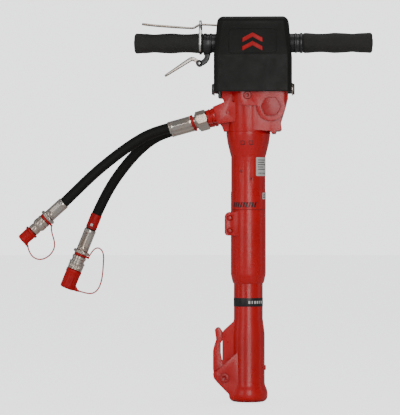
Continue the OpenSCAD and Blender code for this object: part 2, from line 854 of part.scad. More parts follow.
module bar_collars() {
    color("#1c1c1e") at_sides() difference() {
        rod_x(0, bar_z, collar_out_r, -collar_end, -wall_x - wall_t);
        for (groove = collar_grooves) difference() {
            rod_x(0, bar_z, collar_out_r + cut, -groove[1] - cut, -groove[0]);
            rod_x(0, bar_z, collar_out_r - 0.8, -collar_end - 2 * cut, -wall_x);
        }
        rod_x(0, bar_z, bar_r + set_fit, -collar_end - cut, -wall_x);
    }
}

// Grip with three swellings, from its inner end at local z = 0 to its closed outer end
module grip() {
    steps = 24;
    side = [for (i = [0:steps]) let (t = i / steps)
        [grip_r + grip_swell * cos(720 * t), t * (grip_len - 5)]];
    difference() {
        rotate_extrude() polygon(concat(
            [[0, 0]], side, arc([13.4, grip_len - 5], 5, 0, 90), [[0, grip_len]]
        ));
        translate([0, 0, -cut]) cylinder(r = bar_r + set_fit, h = grip_len - 6 + cut);
    }
}

module grip_left() {
    color("#1a1a1a") translate([head_x - half_span + grip_len, 0, bar_z]) rotate([0, -90, 0]) grip();
}

module grip_right() {
    color("#1a1a1a") translate([head_x + half_span - grip_len, 0, bar_z]) rotate([0, 90, 0]) grip();
}

// The hood's form, moved inwards by inset
module hood_form(inset, floor_z) {
    ball = hood_round - inset;
    hull() {
        translate([0, 0, floor_z]) linear_extrude(crease_z - floor_z)
            polygon(round_rect(2 * (hood_w - inset), 2 * (hood_d - inset), hood_corner - inset));
        for (x = [-1, 1]) for (y = [-1, 1])
            translate([x * (hood_top_w - hood_round), y * (hood_top_d - hood_round), hood_top - hood_round])
                sphere(r = ball, $fn = 32);
    }
}

module cover() {
    color("#1c1c1e") translate([head_x, 0, 0]) difference() {
        union() {
            hood_form(0, hood_z);
            translate([0, -hood_d, crease_z]) rotate([-lean, 0, 0])
                translate([0, -0.8, 25.5]) rotate([-90, 0, 0]) linear_extrude(2)
                    polygon(round_rect(85, 45, 5));
        }
        hood_form(hood_wall, hood_z - cut);
        rod_x(0, bar_z, collar_out_r + gap, -100, 100);
        rod_x(0, bolt_z, bolt_r + gap, -100, 100);
        translate([-100, -13, 668]) cube([60, 26, 24]);
    }
}

module badge() {
    mark = [[0, 7], [18, -3], [18, -11], [0, -1], [-18, -11], [-18, -3]];
    color("red") translate([head_x, -hood_d, crease_z]) rotate([-lean, 0, 0])
        translate([0, -0.8, 25.5]) rotate([90, 0, 0]) for (y = [-7, 9]) {
            translate([0, y]) linear_extrude(1) polygon(mark);
        }
}

module throttle_lever() {
    pin = [lever_pin_at[0], lever_pin_at[2]];
    color("gainsboro") difference() {
        union() {
            plate_xz(-lever_w / 2, tab_y) polygon(ribbon(lever_line, lever_t));
            rod_y(pin[0], pin[1], 6, -lever_w / 2, lever_w / 2);
        }
        translate([-200, lever_w / 2, 660]) cube([200 + tab_x[0], 30, 40]);
        translate([tab_x[1], lever_w / 2, 660]) cube([60, 30, 40]);
        rod_y(pin[0], pin[1], lever_pin_r + run_fit, -lever_w, lever_w);
    }
}

module lever_pin() {
    color("silver") rod_y(lever_pin_at[0], lever_pin_at[2], lever_pin_r, -19, 19);
}

module lever_guide() {
    outer = guide_r + guide_t;
    top = 694 - outer;
    color("silver") translate([guide_x - guide_w / 2, 0, 0]) rotate([90, 0, 90]) linear_extrude(guide_w)
        difference() {
            polygon(concat(arc([0, top], outer, 0, 180, 16), arc([0, bar_z], outer, 180, 360, 16)));
            polygon(concat(arc([0, top], guide_r, 0, 180, 16), arc([0, bar_z], guide_r, 180, 360, 16)));
        }
}

module throttle_plunger() {
    color("silver") translate(plunger_at) {
        translate([0, 0, block_top - 22]) cylinder(r = plunger_r, h = plunger_top - block_top + 22);
        translate([0, 0, 624]) cylinder(r = 7, h = 3);
    }
}

module plunger_spring() {
    color("gray") translate(plunger_at + [0, 0, block_top]) ring(6.6, 5, 624 - block_top);
}

module trigger_bracket() {
    bend = [[-74, 640], [-74, 630], [-76, 623], [-81, 617.5], [trigger_x, 614.5]];
    strap_r = collar_out_r + 3.5;
    color("#2a2a2c") difference() {
        union() {
            plate_xz(-bracket_y, bracket_y) polygon(ribbon(bend, 9));
            rod_y(trigger_x, trigger_z, boss_r, -bracket_y, bracket_y);
            intersection() {
                rod_x(0, bar_z, strap_r, strap_x[0], strap_x[1]);
                translate([strap_x[0], -strap_r, 630])
                    cube([strap_x[1] - strap_x[0], strap_r + bracket_y, 26]);
            }
        }
        translate([trigger_x - 12, -blade_y - gap, trigger_z - 12])
            cube([12 + boss_r + 0.4, 2 * (blade_y + gap), 24]);
        rod_y(trigger_x, trigger_z, trigger_pin_r + set_fit, -10, 10);
        rod_x(0, bar_z, collar_out_r + set_fit, -90, -60);
    }
}

module safety_trigger() {
    color("gainsboro") difference() {
        union() {
            plate_xz(-8, 8) polygon(ribbon(trigger_line, 4.6));
            rod_y(trigger_x, trigger_z, 4.8, -blade_y, blade_y);
        }
        for (side = [0, 1]) mirror([0, side, 0])
            translate([trigger_x - 8.5, blade_y, trigger_z - 9]) cube([20, 10, 30]);
        rod_y(trigger_x, trigger_z, trigger_pin_r + run_fit, -20, 20);
    }
}

module trigger_pin() {
    color("gray") rod_y(trigger_x, trigger_z, trigger_pin_r, -bracket_y - 1.2, bracket_y + 4.6);
}

module trigger_spring() {
    color("silver") translate([trigger_x, bracket_y + 0.2, trigger_z]) rotate([-90, 0, 0])
        ring(4.4, trigger_pin_r + 0.3, 3.6);
}

front_head();
neck_band();
chuck_bushing();
bushing_pin();
latch();
latch_pin();
latch_pad();
lower_housing();
lug_bolts();
lower_seal_bush();
cylinder_liner();
piston();
piston_rings();
upper_guide_bush();
housing_seal();
upper_housing();
housing_plugs();
type_plate();
valve_block();
front_plate();
block_screws();
hex_plug();
valve_spool();
accumulator_diaphragm();
accumulator_cap();
accumulator_screws();
port_adapters();
hose_nuts();
hose_rings();
hose_ferrules();
hose_1();
hose_2();
hose_marker();
coupler_1();
coupler_2();
coupler_sleeve();
lanyard_rings();
cap_1();
cap_2();
plug_core();
lanyard_1();
lanyard_2();
handle_bracket();
bracket_bolts();
bracket_bushes();
handle_bar();
bar_collars();
grip_left();
grip_right();
cover();
badge();
throttle_lever();
lever_pin();
lever_guide();
throttle_plunger();
plunger_spring();
trigger_bracket();
safety_trigger();
trigger_pin();
trigger_spring();
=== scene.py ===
"""Looks of the hydraulic breaker hammer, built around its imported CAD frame.

Blender works in metres. Unless a comment says otherwise, shapes are drawn here in millimetres,
in the frame of the CAD or round a local Z axis, and skinned() turns them into metres.
"""

import json
import math

import bmesh
import bpy
from mathutils import Matrix, Vector
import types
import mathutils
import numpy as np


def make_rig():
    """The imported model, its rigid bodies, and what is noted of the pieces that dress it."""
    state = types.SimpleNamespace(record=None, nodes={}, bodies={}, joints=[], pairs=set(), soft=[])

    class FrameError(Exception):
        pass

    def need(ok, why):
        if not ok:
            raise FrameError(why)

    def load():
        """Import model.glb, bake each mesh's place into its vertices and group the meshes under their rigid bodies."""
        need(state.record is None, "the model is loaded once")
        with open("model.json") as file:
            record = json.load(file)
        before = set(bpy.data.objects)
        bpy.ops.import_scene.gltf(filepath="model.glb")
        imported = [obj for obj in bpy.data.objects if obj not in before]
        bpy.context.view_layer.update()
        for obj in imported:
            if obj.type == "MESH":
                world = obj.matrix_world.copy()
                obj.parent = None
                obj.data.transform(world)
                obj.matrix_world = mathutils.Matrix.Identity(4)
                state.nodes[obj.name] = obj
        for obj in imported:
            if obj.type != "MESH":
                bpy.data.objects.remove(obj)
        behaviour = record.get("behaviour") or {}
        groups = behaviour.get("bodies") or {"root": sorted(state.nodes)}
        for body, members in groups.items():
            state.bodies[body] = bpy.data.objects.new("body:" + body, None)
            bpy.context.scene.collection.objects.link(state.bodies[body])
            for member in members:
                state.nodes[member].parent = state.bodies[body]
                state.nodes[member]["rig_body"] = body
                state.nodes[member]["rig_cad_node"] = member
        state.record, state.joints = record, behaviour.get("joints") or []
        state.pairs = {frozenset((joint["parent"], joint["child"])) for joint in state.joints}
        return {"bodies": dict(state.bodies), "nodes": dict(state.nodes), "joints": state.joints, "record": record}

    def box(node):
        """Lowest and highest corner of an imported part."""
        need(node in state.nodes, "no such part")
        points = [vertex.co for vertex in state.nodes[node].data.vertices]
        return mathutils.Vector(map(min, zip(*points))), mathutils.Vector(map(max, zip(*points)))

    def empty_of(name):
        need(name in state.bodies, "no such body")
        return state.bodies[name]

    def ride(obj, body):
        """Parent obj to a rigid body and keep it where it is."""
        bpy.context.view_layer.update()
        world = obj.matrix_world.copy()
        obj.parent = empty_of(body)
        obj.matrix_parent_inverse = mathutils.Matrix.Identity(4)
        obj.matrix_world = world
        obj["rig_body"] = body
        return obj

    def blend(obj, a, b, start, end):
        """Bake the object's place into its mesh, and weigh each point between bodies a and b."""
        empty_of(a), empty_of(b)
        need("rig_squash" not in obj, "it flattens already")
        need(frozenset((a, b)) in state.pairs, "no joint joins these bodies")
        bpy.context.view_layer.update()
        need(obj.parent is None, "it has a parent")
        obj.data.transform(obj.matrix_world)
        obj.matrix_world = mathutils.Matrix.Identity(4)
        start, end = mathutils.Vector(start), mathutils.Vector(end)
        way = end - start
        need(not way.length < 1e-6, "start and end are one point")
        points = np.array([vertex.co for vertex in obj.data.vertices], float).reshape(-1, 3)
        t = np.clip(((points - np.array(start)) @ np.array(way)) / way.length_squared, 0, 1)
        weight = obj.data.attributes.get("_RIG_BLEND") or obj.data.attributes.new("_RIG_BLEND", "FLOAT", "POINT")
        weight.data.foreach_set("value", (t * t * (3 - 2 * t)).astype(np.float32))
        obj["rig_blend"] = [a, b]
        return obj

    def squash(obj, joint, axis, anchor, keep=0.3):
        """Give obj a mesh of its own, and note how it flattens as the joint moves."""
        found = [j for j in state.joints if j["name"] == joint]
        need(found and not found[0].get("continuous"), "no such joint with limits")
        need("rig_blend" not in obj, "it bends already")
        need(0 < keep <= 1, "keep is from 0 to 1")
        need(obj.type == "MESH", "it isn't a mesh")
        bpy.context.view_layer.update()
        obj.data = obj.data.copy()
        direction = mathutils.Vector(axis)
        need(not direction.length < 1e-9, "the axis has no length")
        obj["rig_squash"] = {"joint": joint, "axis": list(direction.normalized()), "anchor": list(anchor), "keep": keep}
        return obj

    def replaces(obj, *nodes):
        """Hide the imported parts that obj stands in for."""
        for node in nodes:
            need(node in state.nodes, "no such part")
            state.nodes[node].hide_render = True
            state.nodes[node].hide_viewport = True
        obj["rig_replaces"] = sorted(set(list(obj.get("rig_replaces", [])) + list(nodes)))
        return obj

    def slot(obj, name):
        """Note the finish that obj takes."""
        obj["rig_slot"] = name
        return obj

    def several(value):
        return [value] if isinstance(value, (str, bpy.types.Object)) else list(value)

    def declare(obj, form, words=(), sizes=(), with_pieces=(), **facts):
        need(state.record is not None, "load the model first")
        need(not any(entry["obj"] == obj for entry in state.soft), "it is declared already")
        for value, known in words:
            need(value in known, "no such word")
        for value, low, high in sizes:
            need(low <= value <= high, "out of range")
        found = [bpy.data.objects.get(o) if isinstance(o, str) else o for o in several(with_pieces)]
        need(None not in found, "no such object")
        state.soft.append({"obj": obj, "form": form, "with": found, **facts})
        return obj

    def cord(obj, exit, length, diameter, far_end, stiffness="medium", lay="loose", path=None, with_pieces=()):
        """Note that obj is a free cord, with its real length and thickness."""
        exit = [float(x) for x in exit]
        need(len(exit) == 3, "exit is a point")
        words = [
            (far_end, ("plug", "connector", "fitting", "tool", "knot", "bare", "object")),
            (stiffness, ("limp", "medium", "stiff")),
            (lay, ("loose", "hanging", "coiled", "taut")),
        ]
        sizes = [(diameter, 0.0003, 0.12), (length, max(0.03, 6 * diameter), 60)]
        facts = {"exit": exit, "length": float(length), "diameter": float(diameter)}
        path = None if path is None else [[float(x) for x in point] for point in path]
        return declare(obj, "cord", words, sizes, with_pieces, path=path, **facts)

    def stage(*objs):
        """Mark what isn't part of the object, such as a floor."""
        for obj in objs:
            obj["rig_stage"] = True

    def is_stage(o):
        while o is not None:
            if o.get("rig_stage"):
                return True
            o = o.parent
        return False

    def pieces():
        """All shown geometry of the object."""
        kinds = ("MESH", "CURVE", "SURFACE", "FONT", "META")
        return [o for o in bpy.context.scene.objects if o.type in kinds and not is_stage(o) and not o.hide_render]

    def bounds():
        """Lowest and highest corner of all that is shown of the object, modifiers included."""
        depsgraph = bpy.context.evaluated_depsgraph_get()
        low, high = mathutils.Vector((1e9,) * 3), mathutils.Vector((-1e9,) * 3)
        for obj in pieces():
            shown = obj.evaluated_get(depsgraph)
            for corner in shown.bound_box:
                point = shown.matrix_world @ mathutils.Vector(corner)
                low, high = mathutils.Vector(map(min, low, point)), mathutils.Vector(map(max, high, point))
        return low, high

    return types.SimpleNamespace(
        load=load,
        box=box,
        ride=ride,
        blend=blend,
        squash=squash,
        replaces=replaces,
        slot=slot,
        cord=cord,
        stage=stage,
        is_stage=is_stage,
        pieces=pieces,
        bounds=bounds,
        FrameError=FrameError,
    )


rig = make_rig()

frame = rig.load()
cad_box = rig.bounds()
MM = 0.001
TAU = 2 * math.pi


def add_object(name, data):
    thing = bpy.data.objects.new(name, data)
    bpy.context.scene.collection.objects.link(thing)
    return thing


def mesh_of(bm, name):
    """A mesh made from bm, which is used up."""
    mesh = bpy.data.meshes.new(name)
    bm.to_mesh(mesh)
    bm.free()
    return mesh


# ---------------------------------------------------------------- camera, floor and light

CAMERA_DISTANCE = 4.5
CAMERA_AZIMUTH = math.radians(3)
AIM_HEIGHT = 0.353
AIM_LEFT = 0.0879
LENS = 214.5
PALE = (0.95, 0.96, 0.97, 1)
BACKDROP_SEEN, BACKDROP_LIGHT = 2.4, 0.24
FLOOR_GLOW = 1.96


def make_camera():
    """A level camera in front of the hammer, a little to its right."""
    right = Vector((math.cos(CAMERA_AZIMUTH), math.sin(CAMERA_AZIMUTH), 0))
    back = Vector((math.sin(CAMERA_AZIMUTH), -math.cos(CAMERA_AZIMUTH), 0))
    data = bpy.data.cameras.new("camera")
    data.lens = LENS
    data.sensor_width = 36
    camera = add_object("camera", data)
    camera.location = -AIM_LEFT * right + Vector((0, 0, AIM_HEIGHT)) + CAMERA_DISTANCE * back
    camera.rotation_euler = (math.radians(90), 0, CAMERA_AZIMUTH)
    bpy.context.scene.camera = camera


def area_light(name, place, size, power, colour=(1, 1, 1)):
    """A soft box at place, in metres, that faces the hammer's middle."""
    data = bpy.data.lights.new(name, "AREA")
    data.shape = "RECTANGLE"
    data.size, data.size_y = size
    data.energy = power
    data.color = colour
    light = add_object(name, data)
    light.location = place
    middle = Vector((0, 0, 0.4))
    light.rotation_euler = (middle - Vector(place)).to_track_quat("-Z", "Y").to_euler()


def make_lights():
    """Soft boxes, and a backdrop that the camera sees brighter than it lights."""
    area_light("front", (0.42, -2.95, 0.75), (1.2, 2.6), 38, (1, 0.985, 0.975))
    area_light("fill_left", (-1.9, -2.3, 0.9), (1.0, 2.0), 9, (1, 0.99, 0.98))
    area_light("side_left", (-2.4, -0.3, 0.9), (0.5, 2.0), 2)
    area_light("side_right", (2.4, 0.2, 1.0), (0.4, 2.0), 1.5)
    area_light("top", (0.2, 0.2, 2.6), (1.2, 1.2), 8)
    world = bpy.data.worlds.new("studio")
    bpy.context.scene.world = world
    world.use_nodes = True
    tree = world.node_tree
    backdrop = tree.nodes["Background"]
    backdrop.inputs["Color"].default_value = PALE
    rays = tree.nodes.new("ShaderNodeLightPath")
    strength = tree.nodes.new("ShaderNodeMapRange")
    tree.links.new(rays.outputs["Is Camera Ray"], strength.inputs["Value"])
    strength.inputs["To Min"].default_value = BACKDROP_LIGHT
    strength.inputs["To Max"].default_value = BACKDROP_SEEN
    tree.links.new(strength.outputs["Result"], backdrop.inputs["Strength"])


def make_floor():
    """A wide pale disc that glows for the camera only, so that it fades into the backdrop."""
    bm = bmesh.new()
    bmesh.ops.create_circle(bm, cap_ends=True, segments=96, radius=14)
    floor = add_object("floor", mesh_of(bm, "floor"))
    floor.location.z = -2 * MM
    n = Nodes("floor_pale")
    rays = n.add("ShaderNodeLightPath")
    glow = n.times(rays.outputs["Is Camera Ray"], FLOOR_GLOW)
    n.set(Base_Color=(0.8, 0.8, 0.8), Roughness=0.9, Emission_Color=PALE, Emission_Strength=glow)
    floor.data.materials.append(n.material)
    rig.stage(floor)


# ---------------------------------------------------------------- material building blocks


class Nodes:
    """A short way to write a node material: each call adds a node and links its inputs."""

    def __init__(self, name):
        self.material = bpy.data.materials.new(name)
        self.material.use_nodes = True
        self.tree = self.material.node_tree
        self.shader = self.tree.nodes["Principled BSDF"]
        self.coordinates = self.add("ShaderNodeTexCoord")

    def add(self, kind, settings=(), **inputs):
        node = self.tree.nodes.new(kind)
        for key, value in dict(settings).items():
            setattr(node, key, value)
        for key, value in inputs.items():
            self.put(node.inputs[key.replace("_", " ")], value)
        return node

    def put(self, socket, value):
        if isinstance(value, bpy.types.NodeSocket):
            self.tree.links.new(value, socket)
        else:
            socket.default_value = value

    def stretched(self, scale):
        mapping = self.add("ShaderNodeMapping", Vector=self.coordinates.outputs["Object"])
        mapping.inputs["Scale"].default_value = scale
        return mapping.outputs["Vector"]

    def noise(self, scale, detail=4, roughness=0.55, vector=None):
        node = self.add("ShaderNodeTexNoise", Scale=scale, Detail=detail, Roughness=roughness)
        self.put(node.inputs["Vector"], vector or self.coordinates.outputs["Object"])
        return node.outputs["Fac"]

    def cells(self, scale):
        vector = self.coordinates.outputs["Object"]
        return self.add("ShaderNodeTexVoronoi", Scale=scale, Vector=vector).outputs["Distance"]

    def span(self, factor, low, high, at=(0.3, 0.7)):
        node = self.add("ShaderNodeMapRange", Value=factor)
        for key, value in zip(("From Min", "From Max", "To Min", "To Max"), (*at, low, high)):
            node.inputs[key].default_value = value
        return node.outputs["Result"]

    def mix(self, factor, low, high):
        node = self.add("ShaderNodeMix", {"data_type": "RGBA"})
        for place, value in ((0, factor), (6, low), (7, high)):
            self.put(node.inputs[place], (*value, 1) if isinstance(value, tuple) else value)
        return node.outputs[2]

    def fade(self, factor, amount, low, high, at=(0.3, 0.7)):
        """Colour low, going up to amount of the way to high where factor passes the at range."""
        return self.mix(self.span(factor, 0, amount, at), low, high)

    def math(self, kind, a, b=0.0):
        node = self.add("ShaderNodeMath", {"operation": kind})
        self.put(node.inputs[0], a)
        self.put(node.inputs[1], b)
        return node.outputs[0]

    def times(self, a, b):
        return self.math("MULTIPLY", a, b)

    def bump(self, *layers):
        """Each layer is (height, distance in metres, strength)."""
        normal = None
        for height, distance, strength in layers:
            node = self.add("ShaderNodeBump", Height=height, Distance=distance, Strength=strength)
            if normal is not None:
                self.put(node.inputs["Normal"], normal)
            normal = node.outputs["Normal"]
        self.put(self.shader.inputs["Normal"], normal)

    def set(self, **inputs):
        for key, value in inputs.items():
            if isinstance(value, tuple) and len(value) == 3:
                value = (*value, 1)
            self.put(self.shader.inputs[key.replace("_", " ")], value)
        return self.material


def shade(colour, factor):
    return tuple(min(1, factor * c) for c in colour)


def paler(colour, amount):
    return tuple(min(1, c + amount) for c in colour)


def edge_wear(n, amount):
    """Grows towards 1 on raised edges, broken up by noise."""
    geometry = n.add("ShaderNodeNewGeometry")
    raised = n.span(geometry.outputs["Pointiness"], 0, 1, (0.52, 0.62))
    broken = n.span(n.noise(900, 3), 0, 1, (0.42, 0.62))
    return n.times(n.times(raised, broken), amount)


def painted_recess_shade(n, amount):
    """Painted shade: grows towards 1 in corners and recesses, as ambient occlusion finds them, broken up by noise."""
    occlusion = n.add("ShaderNodeAmbientOcclusion", {"samples": 6}, Distance=0.012)
    hidden = n.span(occlusion.outputs["AO"], 1, 0, (0.25, 0.85))
    return n.times(hidden, n.span(n.noise(120, 4), amount * 0.5, amount))


# ---------------------------------------------------------------- materials


def red_enamel(name, cast, base):
    """Gloss red paint over metal. cast is how much the casting's skin shows through."""
    n = Nodes(name)
    colour = n.fade(n.noise(14, 3), 1, shade(base, 0.88), shade(base, 1.12))
    colour = n.fade(n.noise(260, 5, 0.6), 0.22, colour, (0.72, 0.010, 0.014))
    # Painted shade: the paint goes almost black-red in corners and recesses.
    colour = n.mix(painted_recess_shade(n, 0.6), colour, (0.09, 0.002, 0.002))
    colour = n.mix(edge_wear(n, 0.22), colour, (0.72, 0.11, 0.09))
    peel = n.noise(150, 2, 0.4)
    skin = n.noise(520, 4, 0.5)
    n.bump((peel, 0.0003, 0.12), (skin, 0.0006, cast), (n.cells(640), 0.0003, 0.5 * cast))
    return n.set(
        Base_Color=colour,
        Roughness=n.span(n.noise(60, 4), 0.24, 0.38),
        Coat_Weight=0.22,
        Coat_Roughness=0.14,
        Specular_IOR_Level=0.42,
    )


def plated_steel(name):
    """Bright zinc plate with fine turning or drawing marks and slight yellowing."""
    n = Nodes(name)
    marks = n.noise(420, 5, 0.6, n.stretched((1, 1, 14)))
    colour = n.fade(n.noise(45, 4), 1, (0.62, 0.59, 0.55), (0.70, 0.56, 0.45))
    # Painted shade: the plate goes dark brown in corners and recesses.
    colour = n.mix(painted_recess_shade(n, 0.75), colour, (0.16, 0.13, 0.10))
    colour = n.fade(n.noise(1500, 2), 0.3, colour, (0.32, 0.30, 0.27), (0.6, 0.75))
    n.bump((marks, 0.00012, 0.35), (n.noise(220, 3), 0.0003, 0.12))
    return n.set(Base_Color=colour, Metallic=1.0, Roughness=n.span(marks, 0.13, 0.30))


def ground_steel(name, base):
    n = Nodes(name)
    marks = n.noise(500, 4, 0.5, n.stretched((1, 1, 22)))
    colour = n.fade(marks, 1, shade(base, 0.8), base)
    # Painted shade: the steel darkens in corners and recesses.
    colour = n.mix(painted_recess_shade(n, 0.7), colour, (0.10, 0.09, 0.08))
    n.bump((marks, 0.0001, 0.25))
    return n.set(Base_Color=colour, Metallic=1.0, Roughness=n.span(n.noise(80, 3), 0.18, 0.34))


def moulded_plastic(name, base, roughness, grain, depth, scuff=0.12, lift=0.12, specular=0.45):
    """Moulded plastic with a spark-eroded grain. scuff is how much pale scuffing it has."""
    n = Nodes(name)
    colour = n.fade(n.noise(25, 4), 1, shade(base, 0.82), shade(base, 1.2))
    scratches = n.noise(90, 6, 0.7, n.stretched((1, 1, 9)))
    colour = n.fade(scratches, scuff, colour, paler(base, lift), (0.6, 0.78))
    colour = n.mix(edge_wear(n, 0.30), colour, paler(shade(base, 1.5), 0.4 * lift))
    n.bump((n.cells(grain), 0.0003, depth), (n.noise(60, 3), 0.0006, 0.08))
    rough = n.span(n.noise(70, 5), *roughness)
    return n.set(Base_Color=colour, Roughness=rough, Specular_IOR_Level=specular)


def foam_rubber(name):
    """Closed-cell grip foam: very fine open pores and a dull surface."""
    n = Nodes(name)
    base = (0.020, 0.020, 0.018)
    skin = n.noise(1100, 4, 0.7)
    colour = n.fade(skin, 1, shade(base, 0.6), shade(base, 2.0))
    colour = n.fade(n.noise(30, 6, 0.7), 0.22, colour, (0.06, 0.058, 0.055), (0.5, 0.75))
    n.bump((n.cells(1700), 0.0005, 0.45), (skin, 0.0004, 0.3))
    return n.set(
        Base_Color=colour,
        Roughness=n.span(skin, 0.62, 0.85),
        Sheen_Weight=0.12,
        Sheen_Roughness=0.4,
        Specular_IOR_Level=0.35,
    )


def smooth_rubber(name):
    n = Nodes(name)
    base = (0.018, 0.018, 0.019)
    colour = n.fade(n.noise(80, 5), 1, shade(base, 0.7), shade(base, 1.6))
    n.bump((n.noise(900, 4), 0.0002, 0.25))
    return n.set(Base_Color=colour, Roughness=n.span(n.noise(200, 3), 0.5, 0.68))


def wrapped_hose(name):
    """Hose cover with the helical print of its curing cloth. U runs round it, V along it in metres."""
    n = Nodes(name)
    split = n.add("ShaderNodeSeparateXYZ", Vector=n.coordinates.outputs["UV"])
    around, along = split.outputs["X"], split.outputs["Y"]
    wrap = n.math("FRACT", n.math("ADD", n.times(along, 62.0), around))
    seam = n.span(wrap, 0, 1, (0.0, 0.07))
    weft = n.math("SINE", n.times(along, TAU * 900))
    warp = n.math("SINE", n.times(around, TAU * 72))
    cloth = n.times(weft, warp)
    speckle = n.noise(1400, 4, 0.7)
    colour = n.fade(cloth, 1, (0.007, 0.0075, 0.006), (0.011, 0.0115, 0.009), (-1, 1))
    colour = n.fade(speckle, 0.5, colour, (0.030, 0.030, 0.028), (0.55, 0.75))
    n.bump((seam, 0.0003, 0.25), (cloth, 0.0001, 0.25), (speckle, 0.0001, 0.2))
    rough = n.span(speckle, 0.5, 0.72)
    return n.set(Base_Color=colour, Roughness=rough, Specular_IOR_Level=0.22)


def satin_black_steel(name):
    n = Nodes(name)
    colour = n.fade(n.noise(60, 4), 1, (0.014, 0.014, 0.015), (0.034, 0.034, 0.036))
    colour = n.mix(edge_wear(n, 0.5), colour, (0.24, 0.23, 0.22))
    n.bump((n.noise(700, 4), 0.0003, 0.2))
    rough = n.span(n.noise(240, 3), 0.34, 0.5)
    return n.set(Base_Color=colour, Metallic=0.0, Roughness=rough, Coat_Weight=0.2)


def printed_label(name):
    n = Nodes(name)
    base = (0.80, 0.79, 0.76)
    colour = n.fade(n.noise(60, 5), 1, shade(base, 0.9), base)
    # Painted shade: the label darkens in corners and recesses.
    colour = n.mix(painted_recess_shade(n, 0.4), colour, (0.3, 0.27, 0.24))
    n.bump((n.noise(300, 3), 0.0002, 0.1))
    return n.set(Base_Color=colour, Roughness=n.span(n.noise(150, 3), 0.3, 0.42))


def bronze(name):
    n = Nodes(name)
    marks = n.noise(400, 4, 0.5, n.stretched((1, 1, 18)))
    colour = n.fade(marks, 1, (0.46, 0.27, 0.11), (0.62, 0.40, 0.18))
    n.bump((marks, 0.0001, 0.3))
    return n.set(Base_Color=colour, Metallic=1.0, Roughness=n.span(marks, 0.25, 0.42))


def cast_iron(name):
    n = Nodes(name)
    skin = n.noise(350, 5, 0.6)
    colour = n.fade(skin, 1, (0.10, 0.10, 0.105), (0.19, 0.19, 0.195))
    n.bump((skin, 0.0006, 0.5))
    return n.set(Base_Color=colour, Metallic=0.7, Roughness=n.span(skin, 0.5, 0.7))


def hood_plastic(name):
    base = (0.011, 0.011, 0.010)
    return moulded_plastic(name, base, (0.40, 0.54), 1400, 0.2, scuff=0.06, lift=0.02, specular=0.22)


def red_plastic(name):
    base = (0.56, 0.003, 0.007)
    return moulded_plastic(name, base, (0.38, 0.52), 1300, 0.1, scuff=0.1, lift=0.03, specular=0.3)


SLOT_MATERIALS = {
    "red_paint": lambda: red_enamel("red_enamel", 0.28, (0.62, 0.0016, 0.005)),
    "dark_red_paint": lambda: red_enamel("red_enamel_smooth", 0.12, (0.48, 0.0014, 0.004)),
    "black_label": lambda: moulded_plastic("black_band", (0.016, 0.016, 0.017), (0.3, 0.42), 900, 0.05),
    "tool_steel": lambda: ground_steel("tool_steel", (0.46, 0.46, 0.47)),
    "bright_steel": lambda: ground_steel("bright_steel", (0.66, 0.66, 0.65)),
    "spring_steel": lambda: ground_steel("spring_steel", (0.34, 0.34, 0.35)),
    "zinc_plate": lambda: plated_steel("zinc_plate"),
    "bronze": lambda: bronze("bush_bronze"),
    "seal_rubber": lambda: smooth_rubber("seal_rubber"),
    "white_label": lambda: printed_label("label_white"),
    "cast_iron": lambda: cast_iron("cast_iron"),
    "red_plastic": lambda: red_plastic("red_plastic"),
    "hose_rubber": lambda: wrapped_hose("hose_rubber"),
    "black_steel": lambda: satin_black_steel("black_steel"),
    "grip_rubber": lambda: foam_rubber("grip_foam"),
    "black_hood": lambda: hood_plastic("hood_plastic"),
}
materials = {}


def material(slot):
    if slot not in materials:
        materials[slot] = SLOT_MATERIALS[slot]()
    return materials[slot]


def node_slot(node):
    for part in frame["record"]["subparts"]:
        if part["node"] == node:
            return part["material_slot"]
    raise KeyError(node)


def node_body(node):
    for body, members in frame["record"]["behaviour"]["bodies"].items():
        if node in members:
            return body
    raise KeyError(node)


# ---------------------------------------------------------------- pieces


def finish_piece(bm, name, node, slot=None, sharp=38, rides=True):
    """Turns bm into a piece that rides on the body of the given CAD node, unless rides is off."""
    bmesh.ops.recalc_face_normals(bm, faces=bm.faces)
    mesh = mesh_of(bm, name)
    for polygon in mesh.polygons:
        polygon.use_smooth = True
    mesh.set_sharp_from_angle(angle=math.radians(sharp))
    piece = add_object(name, mesh)
    slot = slot or node_slot(node)
    mesh.materials.append(material(slot))
    if rides:
        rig.ride(piece, node_body(node))
    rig.slot(piece, slot)
    return piece


def stand_in(bm, node, sharp=38, slot=None, name=None, rides=True):
    """Turns bm into the piece that stands for a CAD node."""
    piece = finish_piece(bm, name or node + "_piece", node, slot, sharp, rides)
    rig.replaces(piece, node)
    return piece


def softened(node, width, angle):
    """A copy of a CAD node whose edges sharper than angle are rounded to the given width."""
    bm = bmesh.new()
    bm.from_mesh(frame["nodes"][node].data)
    bmesh.ops.remove_doubles(bm, verts=bm.verts, dist=2e-6)
    bmesh.ops.dissolve_degenerate(bm, edges=bm.edges, dist=2e-6)
    bmesh.ops.dissolve_limit(bm, angle_limit=math.radians(0.4), verts=bm.verts, edges=bm.edges)
    limit = math.radians(angle)
    edges = [e for e in bm.edges if len(e.link_faces) == 2 and e.calc_face_angle() > limit]
    bmesh.ops.bevel(
        bm, geom=edges, offset=width * MM, segments=2, profile=0.65, affect="EDGES", clamp_overlap=True
    )
    bmesh.ops.triangulate(bm, faces=[f for f in bm.faces if len(f.verts) > 4])
    stand_in(bm, node, sharp=50)


# ---------------------------------------------------------------- shape building blocks


def skinned(rows, closed=False):
    """A closed surface over rows of points, each row a loop with the same number of points."""
    bm = bmesh.new()
    rows = [[bm.verts.new([v * MM for v in p]) for p in row] for row in rows]
    count = len(rows[0])
    pairs = list(zip(rows, rows[1:]))
    if closed:
        pairs.append((rows[-1], rows[0]))
    for low, high in pairs:
        for i in range(count):
            j = (i + 1) % count
            bm.faces.new((low[i], low[j], high[j], high[i]))
    if not closed:
        bm.faces.new(rows[0][::-1])
        bm.faces.new(rows[-1])
    return bm


